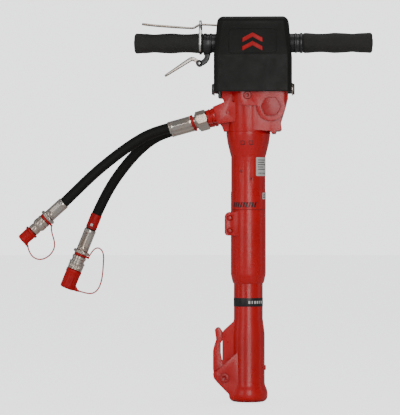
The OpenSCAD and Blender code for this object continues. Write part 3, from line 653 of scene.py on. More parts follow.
def lathe(points, sides=96, hollow=0.0):
    """Turns (z, r) points round local Z, with an optional bore. An r may be a function of the angle."""
    if hollow:
        points = [*points, (points[-1][0], hollow), (points[0][0], hollow)]
    angles = [TAU * i / sides for i in range(sides)]
    rows = []
    for z, radius in points:
        radii = [radius(a) if callable(radius) else radius for a in angles]
        rows.append([(r * math.cos(a), r * math.sin(a), z) for r, a in zip(radii, angles)])
    return skinned(rows, closed=bool(hollow))


def turned(radius, stations, sides=96, hollow=0.0):
    """As lathe, where radius(z, angle) gives the radius at each z of stations."""
    return lathe([(z, lambda a, z=z: radius(z, a)) for z in stations], sides, hollow)


def rod(low, high, radius, sides=64, hollow=0.0):
    return lathe([(low, radius), (high, radius)], sides, hollow)


def rounded(points, radius, steps=3, share=0.45):
    """A 2D line with its corners rounded, each over at most a share of the stretches beside it."""
    out = [Vector(points[0])]
    for before, corner, after in zip(points, points[1:], points[2:]):
        p, c, q = Vector(before), Vector(corner), Vector(after)
        reach = min(radius, share * (p - c).length, share * (q - c).length)
        start, end = c + (p - c).normalized() * reach, c + (q - c).normalized() * reach
        for i in range(steps + 1):
            t = i / steps
            out.append((1 - t) ** 2 * start + 2 * t * (1 - t) * c + t * t * end)
    out.append(Vector(points[-1]))
    return out


def round_rect(half_w, half_d, corner, steps=6):
    """Points of a rectangle with round corners, anticlockwise from +X."""
    corner = min(corner, half_w, half_d)
    points = []
    for k, (sx, sy) in enumerate(((1, 1), (-1, 1), (-1, -1), (1, -1))):
        for i in range(steps + 1):
            a = math.radians(90 * k + 90 * i / steps)
            x = sx * (half_w - corner) + corner * math.cos(a)
            points.append((x, sy * (half_d - corner) + corner * math.sin(a)))
    return points


def even_line(points, step):
    """Points spaced evenly along a 2D line."""
    out = [points[0]]
    for a, b in zip(points, points[1:]):
        count = max(1, round((b - a).length / step))
        out += [a.lerp(b, (i + 1) / count) for i in range(count)]
    return out


def strip(line, width, thickness, corner, bend, step):
    """A bent flat bar whose line lies in XZ. width and thickness are functions of the way along it."""
    points = even_line(rounded(line, bend, 8, 0.48), step)
    rows, travelled = [], 0.0
    for i, p in enumerate(points):
        if i:
            travelled += (p - points[i - 1]).length
        ahead = (points[min(i + 1, len(points) - 1)] - points[max(i - 1, 0)]).normalized()
        w, t = width(travelled), thickness(travelled)
        section = round_rect(w / 2, t / 2, min(corner, 0.49 * t, 0.49 * w), 4)
        rows.append([(p.x - v * ahead.y, u, p.y + v * ahead.x) for u, v in section])
    return skinned(rows)


def round_end(left, width, length, least):
    """The width of a bar whose tip, over its last length, is rounded. left is the way to the tip."""
    if left >= length:
        return width
    return width * math.sqrt(max(least, 1 - ((length - left) / length) ** 2))


def coil(radius, wire, length, turns):
    """A wound spring standing on local Z, with closed flat ends."""
    steps = int(turns * 28)
    rows = []
    for i in range(steps + 1):
        t = i / steps
        lift = min(1, max(0, (t * turns - 1) / (turns - 2)))
        a = TAU * turns * t
        z = wire + lift * (length - 2 * wire)
        row = []
        for k in range(10):
            b = TAU * k / 10
            r = radius + wire * math.cos(b)
            row.append((r * math.cos(a), r * math.sin(a), z + wire * math.sin(b)))
        rows.append(row)
    return skinned(rows)


def block(low, high, corner):
    """A box from low to high, with its edges rounded."""
    bm = bmesh.new()
    bmesh.ops.create_cube(bm, size=1)
    low, high = Vector(low) * MM, Vector(high) * MM
    for vert in bm.verts:
        vert.co = Vector(low[i] + (vert.co[i] + 0.5) * (high[i] - low[i]) for i in range(3))
    if corner:
        bmesh.ops.bevel(
            bm, geom=bm.edges[:], offset=corner * MM, segments=3, profile=0.5, affect="EDGES"
        )
    return bm


def at(x, y, z):
    return Matrix.Translation(Vector((x, y, z)) * MM)


def along_x(x, y, z, sign=1):
    """Local +Z along X, starting at (x, y, z)."""
    return at(x, y, z) @ Matrix.Rotation(math.radians(90 * sign), 4, "Y")


def along_y(x, y, z, sign=1):
    """Local +Z along Y, starting at (x, y, z)."""
    return at(x, y, z) @ Matrix.Rotation(math.radians(-90 * sign), 4, "X")


def outwards(place, drop):
    """Local +Z outwards along a fitting that slopes down to the left by drop degrees."""
    return at(*place) @ Matrix.Rotation(-math.radians(90 + drop), 4, "Y")


def further(matrix, distance):
    return matrix @ at(0, 0, distance)


def moved(bm, matrix):
    bmesh.ops.transform(bm, matrix=matrix, verts=bm.verts)
    return bm


def merged(*parts):
    """One bmesh from several, which are used up."""
    whole = bmesh.new()
    for part in parts:
        mesh = mesh_of(part, "scratch")
        whole.from_mesh(mesh)
        bpy.data.meshes.remove(mesh)
    return whole


def scratch_object(bm):
    bmesh.ops.recalc_face_normals(bm, faces=bm.faces)
    return add_object("scratch", mesh_of(bm, "scratch"))


def carved(bm, *cutters):
    """bm with every cutter taken away from it. All are used up."""
    target = scratch_object(bm)
    tools = [scratch_object(cutter) for cutter in cutters]
    for tool in tools:
        modifier = target.modifiers.new("carve", "BOOLEAN")
        modifier.operation = "DIFFERENCE"
        modifier.solver = "EXACT"
        modifier.object = tool
    bpy.context.view_layer.update()
    result = bmesh.new()
    shaped = target.evaluated_get(bpy.context.evaluated_depsgraph_get())
    result.from_mesh(shaped.to_mesh())
    shaped.to_mesh_clear()
    for thing in (target, *tools):
        mesh = thing.data
        bpy.data.objects.remove(thing)
        bpy.data.meshes.remove(mesh)
    return result


def hex_flat(across, angle):
    """The radius at an angle of a hexagon of the given size across its flats."""
    return across / 2 / math.cos(angle % (TAU / 6) - TAU / 12)


def hexagon_bm(across, length, hollow=0.0):
    """A hexagon whose corners are chamfered at both ends."""
    def radius(z, angle):
        ring = across / 2 * 1.02 + 0.9 * min(z, length - z)
        return min(hex_flat(across, angle), ring, across / math.sqrt(3) - 0.25)

    ends = [z for z in (0, 0.4, 0.8, 1.3, 1.9, 2.6) if z < length / 2 - 0.1]
    return turned(radius, ends + [length - z for z in reversed(ends)], 96, hollow)


def socket_cut(matrix, across, depth):
    """A hexagonal recess cutter that enters from local z = 0 downwards."""
    return moved(turned(lambda z, a: hex_flat(across, a), [-depth, 1], 48), matrix)


def ribbed(base, count, depth, start, end, ease, power, phase=1):
    """A radius function: base(z), with ribs of a depth between start and end. phase is 1 or -1."""
    def radius(z, angle):
        r = base(z)
        if start < z < end:
            fading = min(1, (z - start) / ease, (end - z) / ease)
            r -= fading * depth * (0.5 + 0.5 * phase * math.cos(count * angle)) ** power
        return r
    return radius


def sloping(points):
    """The function that runs straight between (z, r) points."""
    def value(z):
        for (z0, r0), (z1, r1) in zip(points, points[1:]):
            if z <= z1:
                return r0 + (r1 - r0) * (z - z0) / (z1 - z0)
        return points[-1][1]
    return value


# ---------------------------------------------------------------- hoses and lanyards

PORT_DROP = 15.5
DROP_1, DROP_2 = 42, 68
TAIL_2 = 31
END_1 = (-331.5, -50, 361.5)
END_2 = (-280.4, 40, 341.1)
ROUTE_1 = [
    (-143.5, -22, 497.2), (-158.1, -22, 493.3), (-172.2, -23, 488.6), (-186.3, -24, 482.4),
    (-200.4, -26, 474), (-214.5, -28, 464.6), (-228.6, -31, 454.6), (-242.7, -34, 443.4),
    (-256.8, -37, 432.1), (-270.9, -40, 420.2), (-284, -43, 408.1), (-296.1, -45.5, 396.4),
    (-307.2, -47.5, 385.2), (-317.3, -49, 375.3), (-326.4, -50, 366.4), END_1,
]
ROUTE_2 = [
    (-142.2, 22, 492.2), (-155.7, 22, 487.9), (-167.4, 22.5, 482.8), (-178.5, 23, 476.3),
    (-189.2, 24, 468.3), (-199.4, 25, 459.5), (-209.1, 26, 449.8), (-218.3, 27.5, 439.7),
    (-226.9, 29, 429.3), (-235.6, 31, 418.5), (-243.8, 33, 407.4), (-251.5, 35, 396),
    (-258.7, 36.5, 384.1), (-265.4, 38, 371.9), (-271.5, 39, 359.7), (-276.2, 40, 350.2),
    END_2,
]
ROUTE_3 = [
    (-397.3, -50, 282.8), (-395.8, -50, 276.5), (-392.5, -50, 269), (-388, -50, 263.3),
    (-381.5, -50, 259.7), (-374.8, -50, 258.6), (-367.5, -50, 260), (-360.5, -50, 263.8),
    (-354.5, -50, 269.5), (-350.2, -50, 276), (-348.2, -50, 283), (-348.4, -50, 290),
    (-350, -50, 296.5), (-352.3, -50, 303), (-353.9, -50, 309.5), (-354.5, -50, 315),
    (-354.1, -50, 320.1),
]
ROUTE_4 = [
    (-314.2, 40, 199.2), (-308, 40, 197.3), (-301.5, 40, 195.6), (-295, 40, 194.4),
    (-288.5, 40, 194.2), (-282.5, 40, 197.5), (-278, 40, 202.5), (-274.8, 40, 208.5),
    (-272.3, 40, 216), (-270.6, 40, 224), (-269.5, 40, 232.5), (-268.8, 40, 242),
    (-268.2, 40, 251), (-267.8, 40, 260), (-268, 40, 267.5), (-270.3, 40, 273.5),
    (-274.5, 40, 278), (-280, 40, 279.5), (-285, 40, 276.5), (-289.2, 40, 271.6),
    (-292.6, 40, 266.2), (-296.4, 40, 260.2),
]
HOSE_D = 19
LANYARD_D = 2.5
BEAD_R = 2.1


def smooth_line(points, step):
    """A smooth line in metres, close to the points, with even steps of about the given length."""
    line = [Vector(p) * MM for p in points]
    inner = [(a + 2 * b + c) / 4 for a, b, c in zip(line, line[1:], line[2:])]
    line = [line[0], *inner, line[-1]]
    dense = []
    padded = [2 * line[0] - line[1], *line, 2 * line[-1] - line[-2]]
    for a, b, c, d in zip(padded, padded[1:], padded[2:], padded[3:]):
        for k in range(12):
            t = k / 12
            dense.append(0.5 * (
                2 * b + (c - a) * t + (2 * a - 5 * b + 4 * c - d) * t**2
                + (3 * b - a - 3 * c + d) * t**3
            ))
    dense.append(line[-1])
    lengths = [0.0]
    for a, b in zip(dense, dense[1:]):
        lengths.append(lengths[-1] + (b - a).length)
    count = max(2, round(lengths[-1] / (step * MM)))
    even, k = [], 0
    for i in range(count + 1):
        want = lengths[-1] * i / count
        while k < len(dense) - 2 and lengths[k + 1] < want:
            k += 1
        t = (want - lengths[k]) / max(1e-12, lengths[k + 1] - lengths[k])
        even.append(dense[k].lerp(dense[k + 1], min(1, t)))
    return even, lengths[-1]


def swept(line, radius, sides):
    """A tube along a line near the XZ plane, all in metres, with UVs: U round it, V along it."""
    bm = bmesh.new()
    uv = bm.loops.layers.uv.new("UVMap")
    rows, travelled, lengths = [], 0.0, []
    for i, p in enumerate(line):
        ahead = (line[min(i + 1, len(line) - 1)] - line[max(i - 1, 0)]).normalized()
        u = ahead.cross(Vector((0, 1, 0))).normalized()
        v = ahead.cross(u)
        if i:
            travelled += (p - line[i - 1]).length
        lengths.append(travelled)
        rows.append([
            bm.verts.new(p + radius * (math.cos(TAU * k / sides) * u + math.sin(TAU * k / sides) * v))
            for k in range(sides)
        ])
    for i in range(len(rows) - 1):
        for k in range(sides):
            j = (k + 1) % sides
            face = bm.faces.new((rows[i][k], rows[i][j], rows[i + 1][j], rows[i + 1][k]))
            corners = ((k, i), (k + 1, i), (k + 1, i + 1), (k, i + 1))
            for loop, (a, b) in zip(face.loops, corners):
                loop[uv].uv = (a / sides, lengths[b])
    bm.faces.new(rows[0][::-1])
    bm.faces.new(rows[-1])
    return bm


def bead(end, before):
    """A knot just past the end of a line, both in metres."""
    bm = bmesh.new()
    bmesh.ops.create_icosphere(bm, subdivisions=3, radius=BEAD_R * MM)
    return moved(bm, Matrix.Translation(end + 0.2 * MM * (end - before).normalized()))


def make_cord(name, route, diameter, sides, step, follows=None):
    """A cord along route. A lanyard has knots, and its first end follows a cap from start to end."""
    line, length = smooth_line(route, step)
    shape = swept(line, diameter / 2 * MM, sides)
    if follows is None:
        return stand_in(shape, name), line, length
    shape = merged(shape, bead(line[0], line[1]), bead(line[-1], line[-2]))
    piece = stand_in(shape, name, rides=False)
    cap, start, end = follows
    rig.blend(piece, "root", cap, start=Vector(start) * MM, end=Vector(end) * MM)
    return piece, line, length


def make_cords():
    down_2 = Vector((-math.cos(math.radians(DROP_2)), 0, -math.sin(math.radians(DROP_2))))
    tail = [Vector(END_2) + down_2 * TAIL_2 * k / 3 for k in (1, 2, 3)]
    bend_1 = ("cap_1", (-350, -50, 283), (-393, -50, 283))
    bend_2 = ("cap_2", (-270, 40, 250), (-270, 40, 200))
    return {
        "hose_1": make_cord("hose_1", ROUTE_1, HOSE_D, 40, 2),
        "hose_2": make_cord("hose_2", ROUTE_2 + tail, HOSE_D, 40, 2),
        "lanyard_1": make_cord("lanyard_1", ROUTE_3, LANYARD_D, 14, 1.2, bend_1),
        "lanyard_2": make_cord("lanyard_2", ROUTE_4, LANYARD_D, 14, 1.2, bend_2),
    }


def declare_cords(cords):
    """Each free cord with its real size and what it carries."""
    carried = {
        "hose_1": ["coupler_1_piece", "cap_1_piece"],
        "hose_2": ["hose_marker_piece", "coupler_2_piece", "coupler_sleeve_piece", "cap_2_piece"],
    }
    for name, (piece, line, length) in cords.items():
        hose = name in carried
        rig.cord(
            piece, exit=line[0], length=length, diameter=(HOSE_D if hose else LANYARD_D) * MM,
            far_end="fitting" if hose else "object", stiffness="stiff" if hose else "medium",
            lay="hanging", path=line,
            with_pieces=[bpy.data.objects[n] for n in carried.get(name, ())],
        )


# ---------------------------------------------------------------- hood

HEAD_X = 9
HOOD_BOTTOM, CREASE, HOOD_TOP = 562, 628, 699
HOOD_W, HOOD_D = 70, 53
TOP_W, TOP_D, TOP_ROUND = 65, 39, 12
ROUND_FROM = HOOD_TOP - TOP_ROUND
HOOD_WALL = 3
LEAN = math.atan((HOOD_D - TOP_D) / (ROUND_FROM - CREASE))
PANEL_UP = 25.5
BAR_Z, BAR_R, COLLAR_R = 652, 12.5, 18.5
BOLT_Z = 568
THROUGH = 100


def hood_section(z):
    """Half width, half depth and corner radius of the hood at height z."""
    if z <= CREASE:
        lip = 0.8 * max(0, 1 - (z - HOOD_BOTTOM) / 5) ** 2
        return HOOD_W + lip, HOOD_D + lip, 9
    t = min(1, (z - CREASE) / (ROUND_FROM - CREASE))
    ease = t - 0.02 * math.sin(TAU * t)
    if z <= ROUND_FROM:
        return HOOD_W + (TOP_W - HOOD_W) * ease, HOOD_D + (TOP_D - HOOD_D) * ease, 9 + 3 * t
    fall = (z - ROUND_FROM) / TOP_ROUND
    reach = TOP_ROUND * math.sqrt(max(0, 1 - fall * fall))
    return TOP_W - TOP_ROUND + reach, TOP_D - TOP_ROUND + reach, max(0.6, reach)


def hood_rows(inset, heights):
    rows = []
    for z in heights:
        half_w, half_d, corner = hood_section(z + inset * 0.6 if z > CREASE else z)
        section = round_rect(half_w - inset, half_d - inset, max(0.5, corner - inset * 0.5), 10)
        rows.append([(HEAD_X + x, y, z) for x, y in section])
    return rows


def on_lean(bm):
    """Puts a shape drawn round the panel's middle, +Z outwards, on the hood's leaning front."""
    lean = at(HEAD_X, -HOOD_D, CREASE) @ Matrix.Rotation(-LEAN, 4, "X") @ at(0, 0, PANEL_UP)
    return moved(bm, lean @ Matrix.Rotation(math.radians(90), 4, "X"))


def slab(outline, low, high):
    return skinned([[(x, y, z) for x, y in outline] for z in (low, high)])


def make_hood():
    """A shell open at the bottom, with a groove round its panel and holes for bar, bolts and lever."""
    outside = [HOOD_BOTTOM + k for k in (0, 0.5, 1.2, 2.2, 3.5, 5)]
    outside += [CREASE + k for k in (-40, -3, -1, 0, 1, 3, 12, 24, 36, 48, 56)]
    outside += [ROUND_FROM + TOP_ROUND * math.sin(math.radians(a)) for a in range(0, 91, 9)]
    inside = [HOOD_BOTTOM, HOOD_BOTTOM + 20, CREASE, CREASE + 30, ROUND_FROM - 4]
    inside += [HOOD_TOP - 7, HOOD_TOP - HOOD_WALL]
    shell = skinned(hood_rows(HOOD_WALL, inside)[::-1] + hood_rows(0, outside))
    ring_out = slab(round_rect(43.4, 23.4, 6, 8), -1.1, 3)
    ring_in = slab(round_rect(42.1, 22.1, 4.8, 8), -3, 5)
    groove = on_lean(carved(ring_out, ring_in))
    bar_hole = moved(rod(-THROUGH, THROUGH, COLLAR_R + 0.4, 96), along_x(HEAD_X, 0, BAR_Z))
    bolt_hole = moved(rod(-THROUGH, THROUGH, 6.4, 48), along_x(HEAD_X, 0, BOLT_Z))
    lever_slot = block((-91, -13, 668), (-31, 13, 692), 3)
    stand_in(carved(shell, groove, bar_hole, bolt_hole, lever_slot), "cover", sharp=30, name="hood")


def make_badge():
    """A plain mark of two chevrons, with softened edges."""
    mark = [(0, 7), (18, -3), (18, -11), (0, -1), (-18, -11), (-18, -3)]
    outline = rounded([*mark, mark[0]], 1.2, 3, 0.48)[:-1]
    marks = []
    for up in (-7, 9):
        marks.append(skinned([
            [(x * k, y * k + up, z) for x, y in outline] for z, k in ((0, 1), (0.7, 1), (1.0, 0.975))
        ]))
    stand_in(on_lean(merged(*marks)), "badge", name="hood_badge")


# ---------------------------------------------------------------- handle

HALF_SPAN, GRIP_LEN = 217.5, 127.5
GRIP_R, GRIP_SWELL = 17.6, 0.8
COLLAR_AT = 63


def washer(low, high, inner, outer, corner, sides=96, hollow=0.0, steps=3):
    """A ring or disc with rounded outer corners; it is solid where hollow is 0."""
    profile = [(low, inner), (low, outer), (high, outer), (high, inner)]
    return lathe(rounded(profile, corner, steps), sides, hollow)


def grip_bm():
    """A foam grip from its inner end at z = 0 to its closed outer end."""
    inner = [(0, 12.6), (0, 15.6), (0.5, 16.9), (1.6, 17.8), (3.2, 18.3)]
    body = []
    for i in range(1, 60):
        t = i / 60
        swell = GRIP_SWELL * math.cos(2 * TAU * t)
        body.append((3.2 + t * (GRIP_LEN - 12), GRIP_R + swell + 0.25 * math.sin(5 * TAU * t) * t))
    end = [(GRIP_LEN - 7.5, 18.45)]
    for a in range(0, 91, 10):
        r = 12.6 + 6 * math.cos(math.radians(a))
        end.append((GRIP_LEN - 6 + 5 * math.sin(math.radians(a)), r))
    end += [(GRIP_LEN - z, r) for z, r in ((1, 10), (1.3, 9), (1, 8), (0.2, 6.5), (0, 3))]
    return lathe(inner + body + end)


def make_grips():
    for node, sign in (("grip_left", -1), ("grip_right", 1)):
        start = HEAD_X + sign * (HALF_SPAN - GRIP_LEN)
        stand_in(moved(grip_bm(), along_x(start, 0, BAR_Z, sign)), node, sharp=60)


def make_collars():
    """The clamp collars beside the hood, and the left one's screw."""
    profile = [
        (0, 16), (0, 17.2), (12.2, 17.2), (12.8, 18.3), (15.6, 18.3), (16.2, 17.2), (21.4, 17.2),
        (22.4, COLLAR_R), (26.2, COLLAR_R), (27, 17.4), (27, 13),
    ]
    both = []
    for side in (-1, 1):
        collar = lathe(rounded(profile, 0.6), 96, BAR_R + 0.05)
        both.append(moved(collar, along_x(HEAD_X + side * COLLAR_AT, 0, BAR_Z, side)))
    stand_in(merged(*both), "bar_collars", sharp=35, slot="black_steel")
    place = along_y(HEAD_X - COLLAR_AT - 4.5, -15.6, BAR_Z, -1)
    head = moved(lathe(rounded([(0, 3.6), (3.4, 3.6), (4.0, 3.0), (4.0, 0.4)], 0.5), 48), place)
    head = carved(head, socket_cut(further(place, 4), 3, 2))
    finish_piece(head, "collar_screw", "bar_collars", slot="black_steel")


def make_handle_bar():
    reach = HALF_SPAN - 7
    tube = washer(0, 2 * reach, BAR_R - 2, BAR_R, 0.6, 96, 10)
    stand_in(moved(tube, along_x(HEAD_X - reach, 0, BAR_Z)), "handle_bar")


def make_bracket_bolts():
    heads, washers = [], []
    side_x = HOOD_W + 0.3
    for side in (-1, 1):
        place = along_x(HEAD_X + side * side_x, 0, BOLT_Z, side)
        washers.append(moved(washer(0, 1.9, 6.6, 11.5, 0.35, 72, 6.1), place))
        face = lathe(rounded([(1.9, 8.8), (2.4, 8.8), (2.4, 5)], 0.2, 2), 72)
        shank = lathe([(42 - side_x, 5.4), (43 - side_x, 6), (2, 6)], 64)
        heads.append(moved(merged(hexagon_bm(18, 5), face, shank), place))
    stand_in(merged(*heads), "bracket_bolts")
    finish_piece(merged(*washers), "bracket_washers", "bracket_bolts", slot="zinc_plate")


# ---------------------------------------------------------------- controls

LEVER_PIN = (-5, 681)
LEVER_LINE = [(-194, 687.4), (-169, 684.5), (-117, 680.5), (-99, 679.4), (-90, 686), (-77, 686), LEVER_PIN]
GUIDE_X, GUIDE_TOP, GUIDE_R = -87, 673.3, 19.7
TRIGGER = (-89, 615.4)
TRIGGER_LINE = [TRIGGER, (-101, 625.7), (-152, 592.5)]
TRIGGER_LEN = 76.5
BRACKET_LINE = [(-74, 640), (-74, 630), (-76, 623), (-81, 617.5), (-89, 614.5)]
BRACKET_Y, BLADE_Y = 8.5, 4
STRAP_X, STRAP_R = -75, 20.3
PLUNGER = (-35, 18, 596)


def make_throttle_lever():
    def width(s):
        return round_end(s, 21, 9, 0.02)

    def thickness(s):
        return 3.4 - 0.8 * min(1, max(0, (s - 60) / 30))

    arm = strip(LEVER_LINE, width, thickness, 1.2, bend=7, step=1.5)
    boss = moved(washer(0, 21, 3.1, 6, 0.6, 48, 3.05), along_y(LEVER_PIN[0], -10.5, LEVER_PIN[1]))
    tab = block((PLUNGER[0] - 6, 8, 682.1), (PLUNGER[0] + 6, 24, 684.6), 0.8)
    stand_in(merged(arm, boss, tab), "throttle_lever", sharp=35)


def make_lever_guide():
    """The bright loop that holds the throttle lever over the grip."""
    rows = []
    for middle, start in ((GUIDE_TOP, 0), (BAR_Z, math.pi)):
        for i in range(41):
            a = start + math.pi * i / 40
            rows.append([
                (GUIDE_X + u, (GUIDE_R + v) * math.cos(a), middle + (GUIDE_R + v) * math.sin(a))
                for u, v in round_rect(2.2, 1.0, 0.8, 4)
            ])
    stand_in(skinned(rows, closed=True), "lever_guide", sharp=45)


def make_trigger():
    def width(s):
        return round_end(TRIGGER_LEN - s, 16, 8, 0.03)

    def thickness(s):
        return 7.0 - 3.2 * min(1, max(0, (s - 16) / 56))

    x, z = TRIGGER
    arm = strip(TRIGGER_LINE, width, thickness, 1.6, bend=9, step=1.5)
    boss = moved(washer(0, 2 * BLADE_Y, 2.7, 4.9, 0.6, 64), along_y(x, -BLADE_Y, z))
    sides = []
    for low, high in ((BLADE_Y, 14), (-14, -BLADE_Y)):
        sides.append(block((x - 8.5, low, z - 12), (x + 20, high, z + 24), 0))
    stand_in(merged(carved(arm, *sides), boss), "safety_trigger", sharp=35)


def make_trigger_bracket():
    """A fork that carries the trigger, hung from a strap under the left collar."""
    x, z = TRIGGER
    profile = [(0, 2.6), (0, 5.4), (0.7, 6.3), (16.3, 6.3), (17, 5.4), (17, 2.6)]
    arm = strip(BRACKET_LINE, lambda s: 2 * BRACKET_Y, lambda s: 9, 1.0, bend=8, step=1.2)
    boss = moved(lathe(rounded(profile, 0.4), 72, 2.53), along_y(x, -BRACKET_Y, z))
    low, high = (x - 12, -BLADE_Y - 0.4, z - 12), (x + 6.7, BLADE_Y + 0.4, z + 12)
    saddle = moved(rod(STRAP_X - 16, STRAP_X + 15, COLLAR_R + 0.05, 96), along_x(0, 0, BAR_Z))
    rows = []
    for i in range(41):
        a = math.radians(169.5 + (292.7 - 169.5) * i / 40)
        rows.append([
            (STRAP_X + u, (STRAP_R + v) * math.cos(a), BAR_Z + (STRAP_R + v) * math.sin(a))
            for u, v in round_rect(6, 1.7, 0.6, 3)
        ])
    arm = carved(arm, saddle, block(low, high, 0))
    boss = carved(boss, block(low, high, 0))
    stand_in(merged(arm, boss, skinned(rows)), "trigger_bracket", sharp=35)


def make_trigger_pin():
    profile = [(0, 0.3), (0, 2.1), (0.4, 2.5), (22.3, 2.5), (22.8, 2.0), (22.8, 0.3)]
    pin = lathe(rounded(profile, 0.3), 48)
    stand_in(moved(pin, along_y(TRIGGER[0], -9.7, TRIGGER[1])), "trigger_pin")


def make_springs():
    """The trigger's spring with its leg, and the plunger's, which the plunger squeezes."""
    x, z = TRIGGER
    wound = moved(coil(3.45, 0.62, 3.6, 3.2), along_y(x, BRACKET_Y + 0.2, z))
    leg = skinned([
        [(x - 3.4 - 0.75 * s + u, 9.3 + v, z + 0.62 * s) for u, v in round_rect(0.6, 0.6, 0.55, 3)]
        for s in (0, 8, 16)
    ])
    stand_in(merged(wound, leg), "trigger_spring", sharp=60)
    piece = stand_in(moved(coil(5.8, 0.8, 28, 7.5), at(*PLUNGER)), "plunger_spring", sharp=60)
    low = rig.box("plunger_spring")[0]
    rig.squash(piece, "plunger_slide", axis=(0, 0, 1), anchor=(-0.035, 0.018, low[2]), keep=0.91)


# ---------------------------------------------------------------- hose fittings

PORT_X, PORT_Z = -59.5, 520.5
PORT_STEP = 5.2
REAR_X = PORT_X + PORT_STEP * math.sin(math.radians(PORT_DROP))
REAR_Z = PORT_Z - PORT_STEP * math.cos(math.radians(PORT_DROP))
PORTS = [outwards((PORT_X, -22, PORT_Z), PORT_DROP), outwards((REAR_X, 22, REAR_Z), PORT_DROP)]
NUT_AT, RING_AT, FERRULE_AT = 16, 40, 44.3
FERRULE_R = 11
FERRULE_LENGTHS = (36.5, 42)
ENDS = [outwards(END_1, DROP_1), further(outwards(END_2, DROP_2), TAIL_2)]
COUPLERS = [further(end, length) for end, length in zip(ENDS, FERRULE_LENGTHS)]
HOSE_HOLE = 5


def adapter_bm():
    profile = [
        (0, 8), (0, 13.75), (5.2, 13.75), (5.6, 12.2), (7.4, 12.2), (7.8, 13.75), (9.2, 13.75),
        (10, 12.7), (15, 12.7), (16, 11.6), (16, 8),
    ]
    return merged(lathe(rounded(profile, 0.55), 96, HOSE_HOLE), rod(-14, 0.5, 7.9, 64, HOSE_HOLE))


def nut_bm():
    back = [(18.4, 8.1), (18.4, 11.8), (20.8, 11.2), (20.8, 8.1)]
    return merged(hexagon_bm(27, 18.8, 8), lathe(rounded(back, 0.5), 96, 8))


def ring_bm():
    profile = [(0, 8), (0, 11.3), (0.6, 11.8), (3.7, 11.8), (4.3, 11.3), (4.3, 8)]
    return lathe(rounded(profile, 0.4), 96, 8.02)


def ferrule_bm(length):
    """A crimped shell: eight shallow flats between plain round ends."""
    def radius(z, angle):
        r = FERRULE_R
        start, end = 5.0, length - 6.5
        if start < z < end:
            ease = min(1, (z - start) / 1.2, (end - z) / 1.2)
            flat = (FERRULE_R - 0.7) / math.cos(angle % (TAU / 8) - TAU / 16)
            r += ease * (min(flat, FERRULE_R - 0.12) - r)
        edge = min(z, length - z)
        if edge < 0.9:
            r -= 0.9 * (1 - edge / 0.9) ** 2
        groove = abs(z - (length - 4.2))
        if groove < 0.6:
            r -= 0.35 * (1 - groove / 0.6)
        return r

    near = [0, 0.2, 0.5, 0.9, 4.4, 5.0, 5.6, 6.2]
    far = [7.7, 7.1, 6.5, 4.8, 4.5, 4.2, 3.9, 3.6, 0.9, 0.5, 0.2, 0]
    middle = [length * k / 8 for k in range(2, 7)]
    return turned(radius, sorted({*near, *middle, *(length - z for z in far)}), 96, HOSE_HOLE)


def port_ferrule_bm():
    return merged(ferrule_bm(43), rod(-26, 1, 7.97, 64, HOSE_HOLE))


def at_ports(make, distance):
    return [moved(make(), further(port, distance)) for port in PORTS]


def make_port_fittings():
    stand_in(merged(*at_ports(adapter_bm, 0)), "port_adapters")
    stand_in(merged(*at_ports(nut_bm, NUT_AT)), "hose_nuts", sharp=28)
    stand_in(merged(*at_ports(ring_bm, RING_AT)), "hose_rings")
    ferrules = at_ports(port_ferrule_bm, FERRULE_AT)
    ferrules += [moved(ferrule_bm(length), end) for end, length in zip(ENDS, FERRULE_LENGTHS)]
    stand_in(merged(*ferrules), "hose_ferrules", sharp=30)


def coupler_root_bm():
    """The wrench hexagon and the neck behind the lanyard ring."""
    neck = [(5.3, 5), (5.3, 8), (10.7, 8), (10.7, 5)]
    return merged(hexagon_bm(27, 5.5, 5), lathe(neck, 64, 4.4))


def make_couplers():
    body = [
        (10.5, 8), (10.5, 11.6), (11.2, 12.5), (15.2, 12.5), (15.6, 11.7), (17.0, 11.7), (17.4, 12.5),
        (24.8, 12.5), (25.6, 12.2), (28.5, 10.7), (28.9, 9.8), (31, 9.8), (31.4, 10.5), (38.5, 10.5),
        (39.5, 9.8), (40.2, 8.5), (54, 8.5), (55, 8.3), (59.4, 8.3), (60, 7.6), (60, 4.8),
    ]
    male = merged(coupler_root_bm(), lathe(rounded(body, 0.35), 96, 4.2))
    stand_in(moved(male, COUPLERS[0]), "coupler_1", sharp=30)

    socket = [(10.5, 11.6), (11.1, 13), (15.9, 13), (16.5, 12.2), (16.9, 11.95), (36.9, 11.95), (37.5, 11.4)]
    female = merged(coupler_root_bm(), lathe(socket, 96, 9.25), rod(10.5, 23.5, 11, 64, 4.2))
    stand_in(moved(female, COUPLERS[1]), "coupler_2", sharp=30)

    outline = sloping([
        (0, 13.6), (0.5, 14.5), (3.6, 14.5), (4.1, 13.7), (5.1, 13.7), (5.6, 14), (11.4, 14), (11.8, 13.5),
        (12.8, 13.5), (13.2, 14), (14.5, 14), (15, 13.4),
    ])
    stations = [0, 0.25, 0.5, 3.6, 4.1, 5.1, 5.6, 6.1, 6.6, 8.5, 10.4, 10.9, 11.4, 11.8, 12.8, 13.2]
    stations += [14.5, 14.8, 15]
    knurled = ribbed(outline, 36, 0.5, 5.6, 11.4, ease=0.6, power=1.2)
    sleeve = moved(turned(knurled, stations, 216, 12.08), further(COUPLERS[1], 22))
    stand_in(sleeve, "coupler_sleeve", sharp=30)


def cap_tab(root, tip, high):
    """The tapered ear that the lanyard leaves from: (x, low z) at its root and its tip."""
    rows = []
    for i in range(9):
        t = i / 8
        x = root[0] + (tip[0] - root[0]) * t
        low = root[1] + (tip[1] - root[1]) * t ** 0.8
        size = 0.6 if i == 8 else 1
        section = round_rect(size * (high - low) / 2, size * (3.2 - 1.5 * t), 0.9, 4)
        rows.append([(x, v, (high + low) / 2 + u) for u, v in section])
    return skinned(rows)


